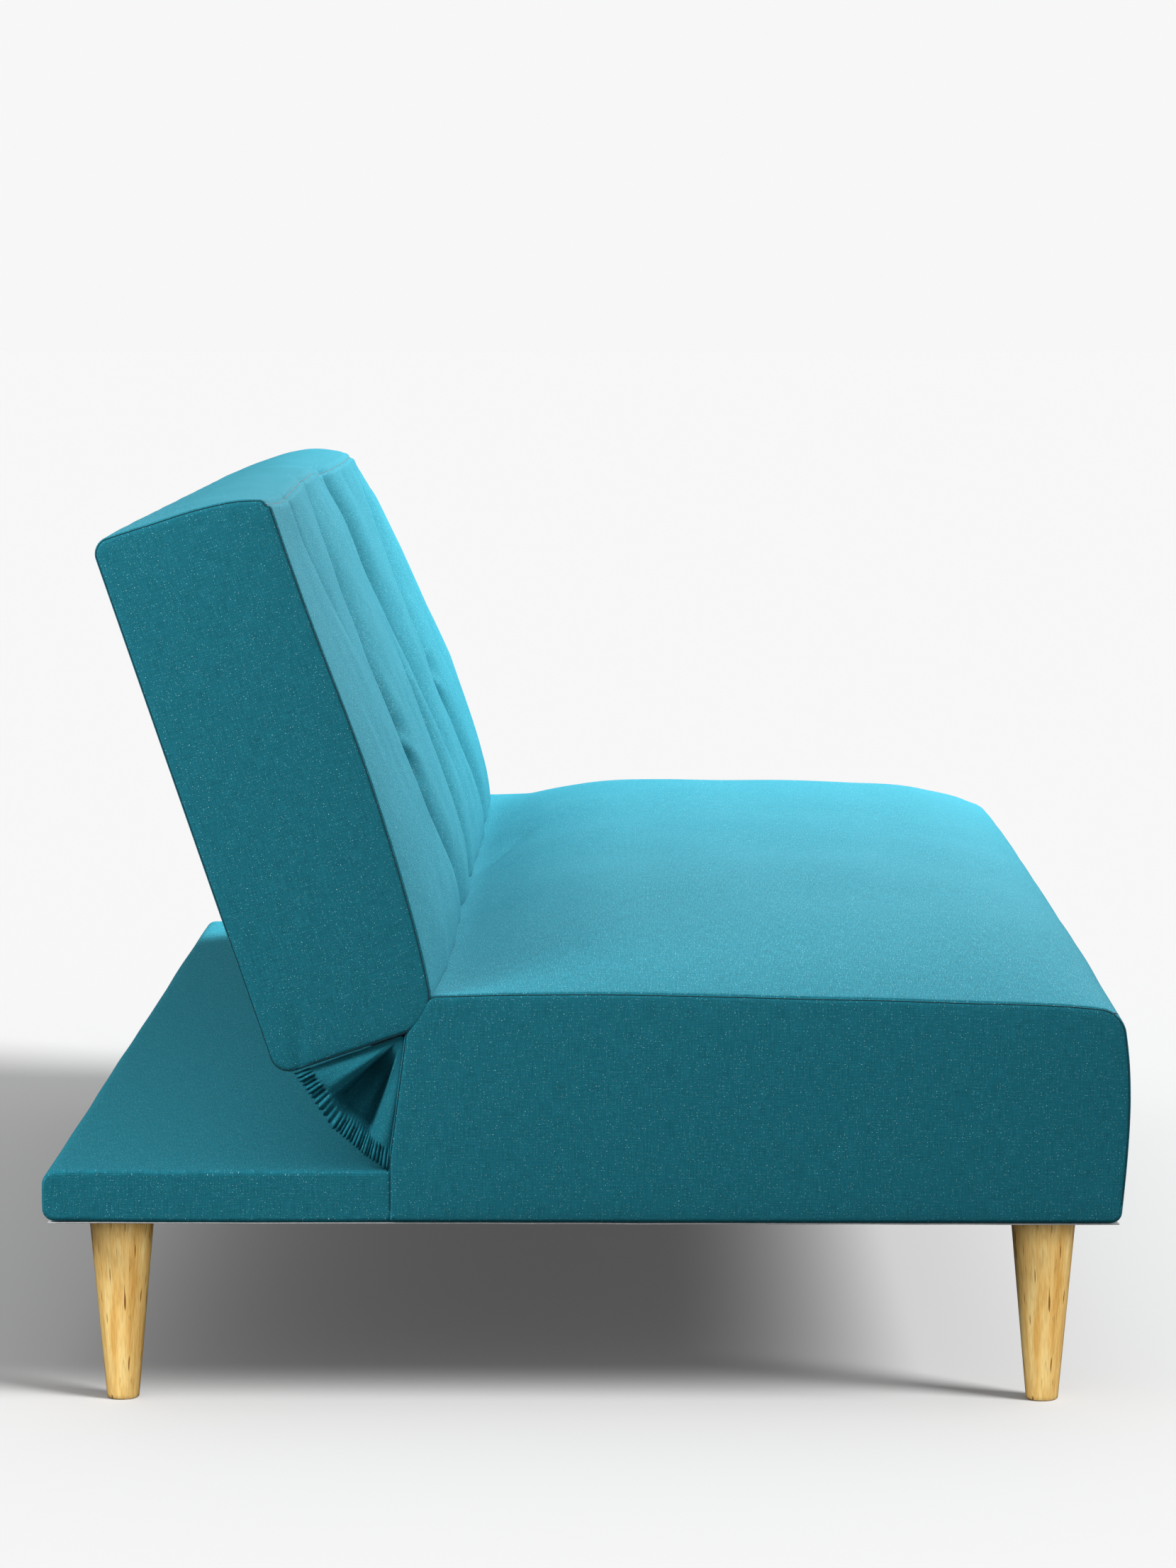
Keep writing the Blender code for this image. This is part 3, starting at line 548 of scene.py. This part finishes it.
def seat_shape(outline, settings):
    top = [(0, 0), (0.03, 0.09), (0.07, 0.30), (0.12, 0.56), (0.2, 0.83), (0.35, 0.98), (0.5, 1.0),
           (0.7, 1.0), (0.85, 0.88), (0.94, 0.56), (0.98, 0.24), (1, 0)]
    front = [(0, 0), (0.08, 0.35), (0.25, 0.85), (0.4, 1.0), (0.7, 0.7), (0.92, 0.2), (1, 0)]

    def shape(x):
        inner = 1 - abs(x / HALF) ** 4.5
        points = outline.points.copy()
        y, z = outline.points.T
        crown = settings.seat_crown * inner + END_CROWN
        outline.swell(points, 3, lambda t: crown * table(top, t, 1) + 0.0012 * inner * ripples(x, y, 0.28, 3)
                      * np.sin(math.pi * t) ** 0.5 - seat_crease(x, y) * inner)
        outline.swell(points, 4, lambda t: (FRONT_END_SWELL + FRONT_SWELL * inner) * table(front, t, 1)
                      + 0.0012 * inner * ripples(x, z, 0.22, 4) * np.sin(math.pi * t))
        points[:, 1] += 0.0008 * ripples(x, y, 0.16, 6) * (z > 0.33)
        return points

    return shape


def seat_crease(x, y):
    """A short crease in the seat where the middle of the backrest presses on it."""
    start, end = np.array([0.02, 0.120]), np.array([0.19, 0.072])
    run = end - start
    t = np.clip(((x - start[0]) * run[0] + (y - start[1]) * run[1]) / (run @ run), 0, 1)
    away = np.hypot(x - start[0] - t * run[0], y - start[1] - t * run[1])
    return CREASE_DEPTH * np.exp(-((away / 0.012) ** 1.4)) * (1 - 0.6 * t)


def fold_depth(x, z):
    """How far the folds and tufts draw the backrest's front in at a place on it."""
    total = np.zeros_like(z)
    for rows in FOLDS.values():
        centre, depth, width = (table(rows, z, c) for c in (1, 2, 3))
        lowest, highest = min(r[0] for r in rows), max(r[0] for r in rows)
        depth = depth * smooth(lowest - 0.03, lowest, z) * (1 - smooth(highest, highest + 0.02, z))
        width = width * np.where(x > centre, RIGHT_SIDE, LEFT_SIDE)
        total += FOLD_SCALE * depth * np.exp(-np.abs((x - centre) / width) ** FOLD_SHARPNESS)
    return total


def tuft_depth(x, z, depth):
    total = np.zeros_like(z)
    for at, height in TUFTS:
        away = np.hypot(x - at, (z - height) * 0.85)
        turn = np.arctan2(z - height, x - at + 1e-9)
        total += depth * np.exp(-((away / TUFT_RADIUS) ** 1.1))
        total += 0.0022 * np.cos(7 * turn + 0.6) * np.exp(-(((away - 0.035) / 0.025) ** 2))
    return total


def back_shape(outline, settings):
    end_front = [(0.0, 0.0), (0.02, 0.002), (0.06, 0.006), (0.12, 0.0092), (0.187, 0.0101), (0.223, 0.0099),
                 (0.273, 0.0079), (0.34, 0.004), (0.40, 0.0015), (0.463, 0.0)]
    lobe = [(0.0, 0.0), (0.015, 0.005), (0.03, 0.012), (0.06, 0.0205), (0.10, 0.024), (0.15, 0.023),
            (0.21, 0.019), (0.25, 0.016), (0.30, 0.011), (0.35, 0.0065), (0.40, 0.003), (0.44, 0.001),
            (0.463, 0.0)]
    top_end = [(0, 0), (0.15, 0.002), (0.35, 0.004), (0.6, 0.0065), (0.85, 0.005), (1, 0)]
    seam_groove = outline.groove(2, 0.0022)
    y, z = outline.points.T
    corner = np.array(BACK_CORNERS[2])
    from_corner = np.hypot(*(outline.points - corner).T)
    on_front = outline.sides[2][2]

    def shape(x):
        inner = 1 - abs(x / HALF) ** 8
        points = outline.points.copy()

        def front(t):
            crown = table(end_front, z, 1) * (1 - inner) + table(lobe, z, 1) * inner
            edge = np.clip(np.minimum(t, 1 - t) / 0.05, 0, 1)
            wave = 0.0012 * ripples(x, z * 0.5, 0.11, 11) + 0.0006 * ripples(x, z * 0.6, 0.05, 12)
            drawn = fold_depth(x, z) + tuft_depth(x, z, settings.tuft_depth)
            return crown - inner * drawn + inner * edge * wave

        outline.swell(points, 2, front)
        outline.swell(points, 1, lambda t: table(top_end, t, 1) + 0.004 * inner * np.sin(math.pi * t)
                      + 0.0010 * inner * ripples(x, y, 0.10, 13) * np.sin(math.pi * t))
        back, up = table(TOP_SEAM, x, 1), table(TOP_SEAM, x, 2)
        pull = np.exp(-((from_corner / 0.040) ** 2))
        points[:, 0] += back * pull
        points[:, 1] += up * pull
        far = smooth(0.40, 0.86, x) ** 1.5
        drop = np.where(on_front, np.interp(z, (0.20, 0.26, 0.33, 0.40, 0.462), (0, 0.22, 0.36, 0.62, 1.0)),
                        np.exp(-(((y - corner[0]) / 0.05) ** 2)) * (z > 0.35))
        points[:, 0] += 0.027 * far * drop
        points[:, 1] -= far * (0.005 + 0.009 * drop) * smooth(0.38, 0.45, z)
        points -= outward_normals(points) * (0.0020 * seam_groove)[:, None]
        return points

    return shape


def back_end(side, points):
    """A crease in the backrest's end panel that rises from its lower edge."""
    away = (points[:, 0] - 0.073) + 0.25 * (points[:, 1] - 0.03)
    reach = smooth(-0.01, 0.012, points[:, 1]) * (1 - smooth(0.025, 0.075, points[:, 1]))
    return -0.0022 * np.exp(-((away / 0.004) ** 2)) * reach


def gusset_point(side, u, v, settings):
    """A point of the gathered wedge. u runs from the backrest's edge to the seat's, v from crease to hem."""
    apex = np.array([0.1525, 0.3205])
    hem = np.array([(0.2428, 0.2880), (0.2299, 0.2698), (0.2122, 0.2433), (0.1960, 0.2300), (0.1828, 0.2185),
                    (0.1672, 0.2085)])
    places = np.linspace(0, 1, len(hem))
    edge = np.stack([np.interp(u, places, column) for column in hem.T], -1)
    gather = 2 * math.pi * GUSSET_HEM / settings.gather_pitch
    phase = gather * u + 1.6 * np.sin(9 * u) + 0.8 * np.sin(23 * u + 1)
    near_hem = smooth(0.84, 0.90, v)
    hollow = smooth(0.27, 0.35, u) * (1 - smooth(0.70, 0.79, u))
    bowl = smooth(0.10, 0.50, v) * (1 - smooth(0.78, 0.89, v))
    left_lip = np.exp(-(((u - 0.22) / 0.05) ** 2)) * bowl
    depth = settings.hollow_depth * hollow * bowl - 0.003 * left_lip
    depth = depth + 0.0030 * np.sin(5 * math.pi * u + 1.0 + 2 * v) * smooth(0.2, 0.6, v) * (1 - near_hem)
    depth = depth + near_hem * (0.0019 * np.sin(phase) + 0.0014 * np.sin(phase * 0.31 + 2))
    band = smooth(0.90, 0.97, v)
    depth = depth - 0.0022 * np.sin(math.pi * np.clip((v - 0.90) / 0.12, 0, 1))
    depth = depth - 0.0008 * band * np.cos(phase)
    away = edge - apex
    place = apex + away * (v[..., None] * (1 + 0.012 * (near_hem * np.sin(phase + 0.8))[..., None]))
    x = side * (HALF - GUSSET_INSET - depth)
    return np.concatenate([x[..., None], place], -1)


def sheet_grid(name, points, flat, material, thickness):
    """A grid of points as cloth of this thickness, with its places in the flat cloth."""
    rows, columns = points.shape[:2]
    normals = np.cross(np.gradient(points, axis=0), np.gradient(points, axis=1))
    normals /= np.maximum(np.linalg.norm(normals, axis=-1, keepdims=True), 1e-12)
    layers = [(points + half * normals).reshape(-1, 3) for half in (thickness / 2, -thickness / 2)]
    count = rows * columns
    faces, uvs = [], []

    def place(index):
        j, i = divmod(index % count, columns)
        return (flat[0] * i / (columns - 1), flat[1] * j / (rows - 1))

    for j in range(rows - 1):
        for i in range(columns - 1):
            a, d = j * columns + i, (j + 1) * columns + i
            b, c = a + 1, d + 1
            faces.append((a, d, c, b))
            faces.append((a + count, b + count, c + count, d + count))
    edge = list(range(columns)) + [j * columns + columns - 1 for j in range(1, rows)]
    edge += [(rows - 1) * columns + i for i in range(columns - 2, -1, -1)]
    edge += [j * columns for j in range(rows - 2, 0, -1)]
    for a, b in zip(edge, edge[1:] + edge[:1]):
        faces.append((a, b, b + count, a + count))
    for face in faces:
        uvs += [place(v) for v in face]
    return mesh_object(name, np.concatenate(layers), faces, uvs, material)


# ---------------------------------------------------------------- settings


class SofaFabricSettings(bpy.types.PropertyGroup):
    thread_spacing: bpy.props.FloatProperty(
        name="Thread Spacing", description="Distance between neighbouring yarns",
        default=0.00075, unit="LENGTH", precision=5,
    )
    # The pale flecks are partly pale yarn and partly painted glints.
    fleck_and_glint_share: bpy.props.FloatProperty(
        name="Flecks", description="How common the pale flecks are",
        default=0.066, subtype="FACTOR", min=0.0, max=0.1,
    )
    sheen: bpy.props.FloatProperty(
        name="Sheen", description="Soft shine of the yarn's loose fibres",
        default=0.03, subtype="FACTOR", min=0.0, max=1.0,
    )


class SofaCushionSettings(bpy.types.PropertyGroup):
    seat_crown: bpy.props.FloatProperty(
        name="Seat Crown", description="How far the seat rises above its end seams",
        default=0.052, unit="LENGTH",
    )
    tuft_depth: bpy.props.FloatProperty(
        name="Tuft Depth", description="How far each tuft is drawn in",
        default=0.011, unit="LENGTH",
    )
    seam_depth: bpy.props.FloatProperty(
        name="Seam Depth", description="Depth of the groove along an end seam",
        default=0.0016, unit="LENGTH", precision=4,
    )
    mesh_step: bpy.props.FloatProperty(
        name="Mesh Step", description="Spacing of the cushions' points",
        default=0.005, unit="LENGTH",
    )


class SofaGussetSettings(bpy.types.PropertyGroup):
    hollow_depth: bpy.props.FloatProperty(
        name="Hollow Depth", description="Depth of the fold inside each gusset",
        default=0.032, unit="LENGTH",
    )
    gather_pitch: bpy.props.FloatProperty(
        name="Gather Pitch", description="Distance between gathers on the elastic hem",
        default=0.0046, unit="LENGTH", precision=4,
    )


class SofaLegSettings(bpy.types.PropertyGroup):
    top_radius: bpy.props.FloatProperty(
        name="Top Radius", description="Radius of a leg under the frame",
        default=0.028, unit="LENGTH",
    )
    foot_radius: bpy.props.FloatProperty(
        name="Foot Radius", description="Radius of a leg at the floor",
        default=0.0135, unit="LENGTH",
    )


class SofaStageSettings(bpy.types.PropertyGroup):
    lens: bpy.props.FloatProperty(
        name="Lens", description="Focal length on a 36 mm sensor",
        default=121.18, subtype="DISTANCE_CAMERA",
    )
    dome: bpy.props.FloatProperty(
        name="Overhead Light", description="Brightness of the light overhead",
        default=0.55, min=0.0,
    )
    surround: bpy.props.FloatProperty(
        name="Surround", description="Brightness of the white walls all round",
        default=0.34, min=0.0,
    )
    key: bpy.props.FloatProperty(
        name="Key Light", description="Power of the soft box above the front's far end",
        default=294.0, subtype="POWER", min=0.0,
    )
    fill: bpy.props.FloatProperty(
        name="Fill Light", description="Power of the soft box behind the near end",
        default=32.0, subtype="POWER", min=0.0,
    )
    front: bpy.props.FloatProperty(
        name="Front Light", description="Strength of the low light from the front",
        default=0.55, min=0.0,
    )
    floor_sun: bpy.props.FloatProperty(
        name="Floor Light", description="Strength of the light that only the floor gets",
        default=6.0, min=0.0,
    )
    floor_fill: bpy.props.FloatProperty(
        name="Floor Fill", description="Strength of the shadowless light on the floor",
        default=0.45, min=0.0,
    )
    leg_sun: bpy.props.FloatProperty(
        name="Leg Light", description="Strength of the low light that only the legs get",
        default=2.0, min=0.0,
    )


# ---------------------------------------------------------------- operators


def get_material(name, maker):
    return bpy.data.materials.get(name) or maker()


def fabric():
    return get_material("teal_linen_weave", lambda: linen("teal_linen_weave", bpy.context.scene.sofa_fabric))


# Dark teal for the lines of painted shade along the seams.
def seam_shade_material():
    return get_material("teal_thread", lambda: mottled("teal_thread", ("#0C3A44", "#104652"), 0.001, 0.9))


def mesh_step():
    return bpy.context.scene.sofa_cushions.mesh_step * 1


class SOFA_OT_seat(bpy.types.Operator):
    """Builds the seat's cushion with its end seams and corner darts"""

    bl_idname = "sofa_bed.seat"
    bl_label = "Seat Cushion"

    def execute(self, context):
        settings = context.scene.sofa_cushions
        step = mesh_step()
        outline = Outline(SEAT_CORNERS, SEAT_RADII, step * 1.4, 0.0022)
        shape = seat_shape(outline, settings)
        cushion = wrapped("seat_cushion", outline, shape, fabric(), settings.seam_depth,
                          step=step)
        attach(cushion, "base")
        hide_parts("seat_cover", "seat_wadding", "seat_foam")
        dart = outline.corner_index(4)
        # The end seams and corner darts get dark lines of painted seam shade.
        for side, name in SIDES:
            seam = end_seam("seat_end_seam_" + name, outline, shape, side, settings.seam_depth,
                            seam_shade_material(), skip=(5,))
            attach(seam, "base")
            line = []
            for k in range(9):
                x = side * (HALF - 0.0022 * k)
                points = shape(x)
                y, z = (points + outward_normals(points) * 0.0001)[dart - 2 + k // 3]
                line.append((x, y, z))
            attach(seam_shade_line("seat_corner_dart_" + name, line, seam_shade_material()), "base")
        return {"FINISHED"}


class SOFA_OT_backrest(bpy.types.Operator):
    """Builds the backrest's cushion: two tufts, a centre pleat, loose folds, and a seam along its top"""

    bl_idname = "sofa_bed.backrest"
    bl_label = "Backrest Cushion"

    def execute(self, context):
        settings = context.scene.sofa_cushions
        step = mesh_step()
        rest = backrest_rest()
        outline = Outline(BACK_CORNERS, BACK_RADII, step * 0.9, 0.0016)
        shape = back_shape(outline, settings)
        cushion = wrapped("back_cushion", outline, shape, fabric(), settings.seam_depth,
                          step=step * 0.8, end=back_end, rest=rest)
        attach(cushion, "backrest")
        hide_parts("back_cover", "back_wadding", "back_foam")
        # The end seams and the top seam get dark lines of painted seam shade.
        for side, name in SIDES:
            seam = end_seam("back_end_seam_" + name, outline, shape, side, settings.seam_depth,
                            seam_shade_material(), rest)
            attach(seam, "backrest")
        corner = outline.corner_index(2)
        line = []
        for k in range(241):
            x = HALF * (-1 + k / 120) * 0.9985
            line.append((x, *shape(x)[corner]))
        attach(seam_shade_line("back_top_seam", line, seam_shade_material(), rest), "backrest")
        return {"FINISHED"}


class SOFA_OT_ledge(bpy.types.Operator):
    """Builds the cloth-covered shelf behind the seat, whose ends roll over without a seam"""

    bl_idname = "sofa_bed.ledge"
    bl_label = "Ledge"

    def execute(self, context):
        step = mesh_step()
        outline = Outline(LEDGE_CORNERS, LEDGE_RADII, step * 1.4, 0.0022)

        def shape(x):
            inner = 1 - abs(x / HALF) ** 8
            points = outline.points.copy()
            y, z = outline.points.T
            outline.swell(points, 2, lambda t: 0.0010 * inner * np.sin(math.pi * t) ** 0.6
                          + 0.0004 * ripples(x, y, 0.2, 21) * np.sin(math.pi * t))
            outline.swell(points, 1, lambda t: 0.0012 * ripples(x, z, 0.25, 22) * np.sin(math.pi * t))
            points[:, 1] += 0.0006 * ripples(x, y, 0.12, 23) * (z < 0.18)
            return points

        cover = wrapped("ledge_upholstery", outline, shape, fabric(), roll=0.004, crown=0.001,
                        step=step)
        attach(cover, "base")
        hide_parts("ledge_cover", "ledge_pad")
        return {"FINISHED"}


class SOFA_OT_gussets(bpy.types.Operator):
    """Builds the gathered wedge with an elastic hem at each end of the crease"""

    bl_idname = "sofa_bed.gussets"
    bl_label = "Gussets"

    def execute(self, context):
        settings = context.scene.sofa_gussets
        coarse = 1
        u, v = np.meshgrid(np.linspace(0, 1, 360 // coarse), np.linspace(0.02, 1.0, 72 // coarse))
        for side, name in SIDES:
            points = gusset_point(side, u, v, settings)
            cloth = sheet_grid("gusset_cloth_" + name, points, (0.20, 0.12), fabric(), 0.0010)
            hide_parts("gusset_" + name)
            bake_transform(cloth)
        return {"FINISHED"}


class SOFA_OT_linings(bpy.types.Operator):
    """Builds the thin cloth under the base and behind the backrest"""

    bl_idname = "sofa_bed.linings"
    bl_label = "Linings"

    def execute(self, context):
        material = mottled("grey_lining", ("#B9BDBD", "#CFD2D1"), 0.004, 0.95, 0.0003)
        u, v = np.meshgrid(np.linspace(-1, 1, 220), np.linspace(-1, 1, 90))
        x, y = u * (HALF - 0.0015), v * 0.4455 + 0.004
        edge = np.clip((1 - np.maximum(np.abs(u), np.abs(v))) / 0.02, 0, 1)
        z = 0.16262 + 0.0002 * ripples(x, y, 0.07, 31) * (1 - 0.5 * edge)
        under = sheet_grid("underside_cloth", np.stack([x, y, z], -1), (1.697, 0.891), material,
                           LINING_THICKNESS)
        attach(under, "base")
        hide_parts("underside_lining")
        z = 0.0150 + (v + 1) / 2 * 0.4530
        x = u * (HALF - 0.030)
        y = 0.1004 + 0.0003 * ripples(x, z, 0.12, 32)
        behind = sheet_grid("back_lining_cloth", np.stack([x, y, z], -1), (1.640, 0.453), material,
                            LINING_THICKNESS)
        behind.data.transform(backrest_rest())
        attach(behind, "backrest")
        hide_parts("back_lining")
        return {"FINISHED"}


class SOFA_OT_legs(bpy.types.Operator):
    """Turns the four cone legs"""

    bl_idname = "sofa_bed.legs"
    bl_label = "Legs"

    def execute(self, context):
        settings = context.scene.sofa_legs
        material = wood("lacquered_beech", ("#D9A552", "#EFC576", "#F6D88F"), 2, 0.32, 0.012)
        material.node_tree.nodes["Principled BSDF"].inputs["Coat Weight"].default_value = 0.35
        top, foot = settings.top_radius, settings.foot_radius
        profile = [(0.0, 0.0), (foot * 0.9, 0.0), (foot, 0.0012)]
        heights = np.linspace(0.004, LEG_HEIGHT - 0.001, 24)
        profile += [(foot + (top - foot) * z / LEG_HEIGHT, z) for z in heights]
        profile += [(top - 0.0004, LEG_HEIGHT - 0.0002), (0.0, LEG_HEIGHT - 0.0002)]
        steps = 72
        turns = np.linspace(0, 2 * math.pi, steps + 1)
        for end in ("front", "back"):
            for side, name in SIDES:
                low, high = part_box(f"leg_{end}_{name}")
                centre = (low + high) / 2
                verts, faces, uvs = [], [], []
                for radius, z in profile:
                    verts += [(radius * math.cos(a), radius * math.sin(a), z) for a in turns[:-1]]
                for j in range(len(profile) - 1):
                    for i in range(steps):
                        k = (i + 1) % steps
                        faces.append((j * steps + i, j * steps + k, (j + 1) * steps + k, (j + 1) * steps + i))
                        uvs += [(0.0, 0.0)] * 4
                rest = Matrix.Translation((centre.x, centre.y, 0.0))
                leg = mesh_object(f"turned_leg_{end}_{name}", verts, faces, uvs, material, rest)
                leg.data.shade_smooth()
                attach(leg, "base")
                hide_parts(f"leg_{end}_{name}")
        return {"FINISHED"}


class SOFA_OT_inner_frame(bpy.types.Operator):
    """Gives the frame, springs and hinges inside the upholstery their finishes"""

    bl_idname = "sofa_bed.inner_frame"
    bl_label = "Inner Frame"

    def execute(self, context):
        pine = wood("sawn_pine", ("#B98A54", "#D0A46C", "#E0BC88"), 0, 0.7)
        plywood = wood("plywood", ("#A87D4C", "#BF9663", "#CFAB7B"), 0, 0.75)
        zinc = mottled("zinc_plated_steel", ("#A3A7A8", "#C4C8C9"), 0.006, 0.35, metallic=1.0)
        spring = mottled("oiled_spring_wire", ("#33363A", "#55595E"), 0.004, 0.4, metallic=1.0)
        twine = mottled("nylon_twine", ("#C9C9BE", "#E2E2D8"), 0.002, 0.8, 0.0002)
        finishes = [
            (("base_rail", "corner_block", "seat_board", "seat_brace", "back_board", "back_brace"), pine),
            (("ledge_board", "back_panel"), plywood),
            (("leg_bolt", "leg_nut", "hinge_"), zinc),
            (("seat_spring",), spring),
            (("tuft_tie",), twine),
        ]
        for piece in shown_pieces():
            if "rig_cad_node" not in piece:
                continue
            for starts, material in finishes:
                if piece.name.startswith(starts):
                    for slot in piece.material_slots:
                        slot.link = "OBJECT"
                        slot.material = material
        return {"FINISHED"}


class SOFA_OT_stage(bpy.types.Operator):
    """Sets up the pale studio: floor, backdrop, overhead light, lamps and the camera"""

    bl_idname = "sofa_bed.stage"
    bl_label = "Studio"

    def execute(self, context):
        scene, settings = context.scene, context.scene.sofa_stage
        floor_mesh = bpy.data.meshes.new("studio_floor")
        corners = [(FLOOR_REACH * x, FLOOR_REACH * y, 0) for x, y in ((-1, -1), (1, -1), (1, 1), (-1, 1))]
        floor_mesh.from_pydata(corners, [], [(0, 1, 2, 3)])
        floor = bpy.data.objects.new("studio_floor", floor_mesh)
        material, tree, shader = new_material("white_floor", Roughness=1.0)
        shader.inputs["Specular IOR Level"].default_value = 0.0
        seen = node(tree, "ShaderNodeLightPath").outputs["Is Camera Ray"]
        shade = mix(tree, seen, (0.05, 0.05, 0.05, 1.0), (0.50, 0.50, 0.50, 1.0))
        tree.links.new(shade, shader.inputs["Base Color"])
        floor_mesh.materials.append(material)
        scene.collection.objects.link(floor)
        floor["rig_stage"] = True

        world = bpy.data.worlds.new("studio")
        scene.world = world
        world.use_nodes = True
        tree = world.node_tree
        background = tree.nodes["Background"]
        direction = node(tree, "ShaderNodeTexCoord").outputs["Generated"]
        height = node(tree, "ShaderNodeSeparateXYZ", {"Vector": direction}).outputs["Z"]
        up = maths(tree, "MAXIMUM", height, 0.0)
        glow = maths(tree, "ADD", maths(tree, "MULTIPLY", up, settings.dome), settings.surround)
        seen = node(tree, "ShaderNodeLightPath").outputs["Is Camera Ray"]
        strength = maths(tree, "ADD", maths(tree, "MULTIPLY", glow, maths(tree, "SUBTRACT", 1.0, seen)),
                         maths(tree, "MULTIPLY", seen, BACKDROP))
        tree.links.new(strength, background.inputs["Strength"])
        background.inputs["Color"].default_value = (1.0, 1.0, 1.0, 1.0)

        floor_only = bpy.data.collections.new("floor_only")
        floor_only.objects.link(floor)
        not_floor = bpy.data.collections.new("not_floor")
        not_floor.objects.link(floor)
        not_floor.collection_objects[0].light_linking.link_state = "EXCLUDE"
        legs_only = bpy.data.collections.new("legs_only")
        for made in scene.objects:
            if made.name.startswith("turned_leg"):
                legs_only.objects.link(made)
        crease, origin = (0.3, -0.1, 0.4), (0.0, 0.0, 0.0)
        wide, soft = math.radians(22), math.radians(30)
        # Name, kind, strength, size or angle, place, what it is aimed at, what it lights.
        lights = (
            ("key", "AREA", settings.key, 0.8, (2.4, -1.2, 2.4), crease, not_floor),
            ("fill", "AREA", settings.fill, 0.8, (-1.8, 1.6, 1.6), (-0.85, 0.1, 0.4), not_floor),
            ("front", "SUN", settings.front, math.radians(25), (0.0, -2.5, 1.0), origin, not_floor),
            ("legs", "SUN", settings.leg_sun, soft, (-1.0, -0.3, 0.3), origin, legs_only),
            ("floor", "SUN", settings.floor_sun, wide, (-0.75, -1.4, 1.0), origin, floor_only),
            ("floor_fill", "SUN", settings.floor_fill, wide, (0.0, 0.0, 1.0), origin, floor_only),
        )
        for name, kind, power, size, place, aim, receivers in lights:
            data = bpy.data.lights.new(name, kind)
            data.energy = power
            data.use_shadow = name != "floor_fill"
            if kind == "SUN":
                data.angle = size
            else:
                data.size = size
            light = bpy.data.objects.new(name, data)
            light.location = place
            light.rotation_mode = "QUATERNION"
            light.rotation_quaternion = (Vector(place) - Vector(aim)).to_track_quat("Z", "Y")
            light.light_linking.receiver_collection = receivers
            scene.collection.objects.link(light)

        data = bpy.data.cameras.new("camera")
        data.lens, data.sensor_width = settings.lens, 36.0
        data.clip_end = 200.0
        camera = bpy.data.objects.new("camera", data)
        camera.location = CAMERA_PLACE
        level = math.cos(CAMERA_PITCH)
        look = Vector((level * math.cos(CAMERA_YAW), level * math.sin(CAMERA_YAW), math.sin(CAMERA_PITCH)))
        camera.rotation_mode = "QUATERNION"
        camera.rotation_quaternion = look.to_track_quat("-Z", "Y")
        scene.collection.objects.link(camera)
        scene.camera = camera
        scene.view_settings.view_transform = "Standard"
        return {"FINISHED"}


STEPS = (
    SOFA_OT_seat,
    SOFA_OT_backrest,
    SOFA_OT_ledge,
    SOFA_OT_gussets,
    SOFA_OT_linings,
    SOFA_OT_legs,
    SOFA_OT_inner_frame,
    SOFA_OT_stage,
)
GROUPS = {
    "sofa_fabric": SofaFabricSettings,
    "sofa_cushions": SofaCushionSettings,
    "sofa_gussets": SofaGussetSettings,
    "sofa_legs": SofaLegSettings,
    "sofa_stage": SofaStageSettings,
}


class SOFA_PT_panel(bpy.types.Panel):
    bl_label = "Futon Sofa Bed"
    bl_idname = "SOFA_PT_panel"
    bl_space_type = "VIEW_3D"
    bl_region_type = "UI"
    bl_category = "Sofa Bed"

    def draw(self, context):
        for step in STEPS:
            self.layout.operator(step.bl_idname)
        for name, group in GROUPS.items():
            box = self.layout.box()
            for setting in group.__annotations__:
                box.prop(getattr(context.scene, name), setting)


def register():
    for kind in (*GROUPS.values(), *STEPS, SOFA_PT_panel):
        bpy.utils.register_class(kind)
    for name, group in GROUPS.items():
        setattr(bpy.types.Scene, name, bpy.props.PointerProperty(type=group))


def unregister():
    for name in GROUPS:
        delattr(bpy.types.Scene, name)
    for kind in reversed((*GROUPS.values(), *STEPS, SOFA_PT_panel)):
        bpy.utils.unregister_class(kind)


def main():
    register()
    for step in STEPS:
        group, _, name = step.bl_idname.partition(".")
        getattr(getattr(bpy.ops, group), name)()


if __name__ == "__main__":
    main()
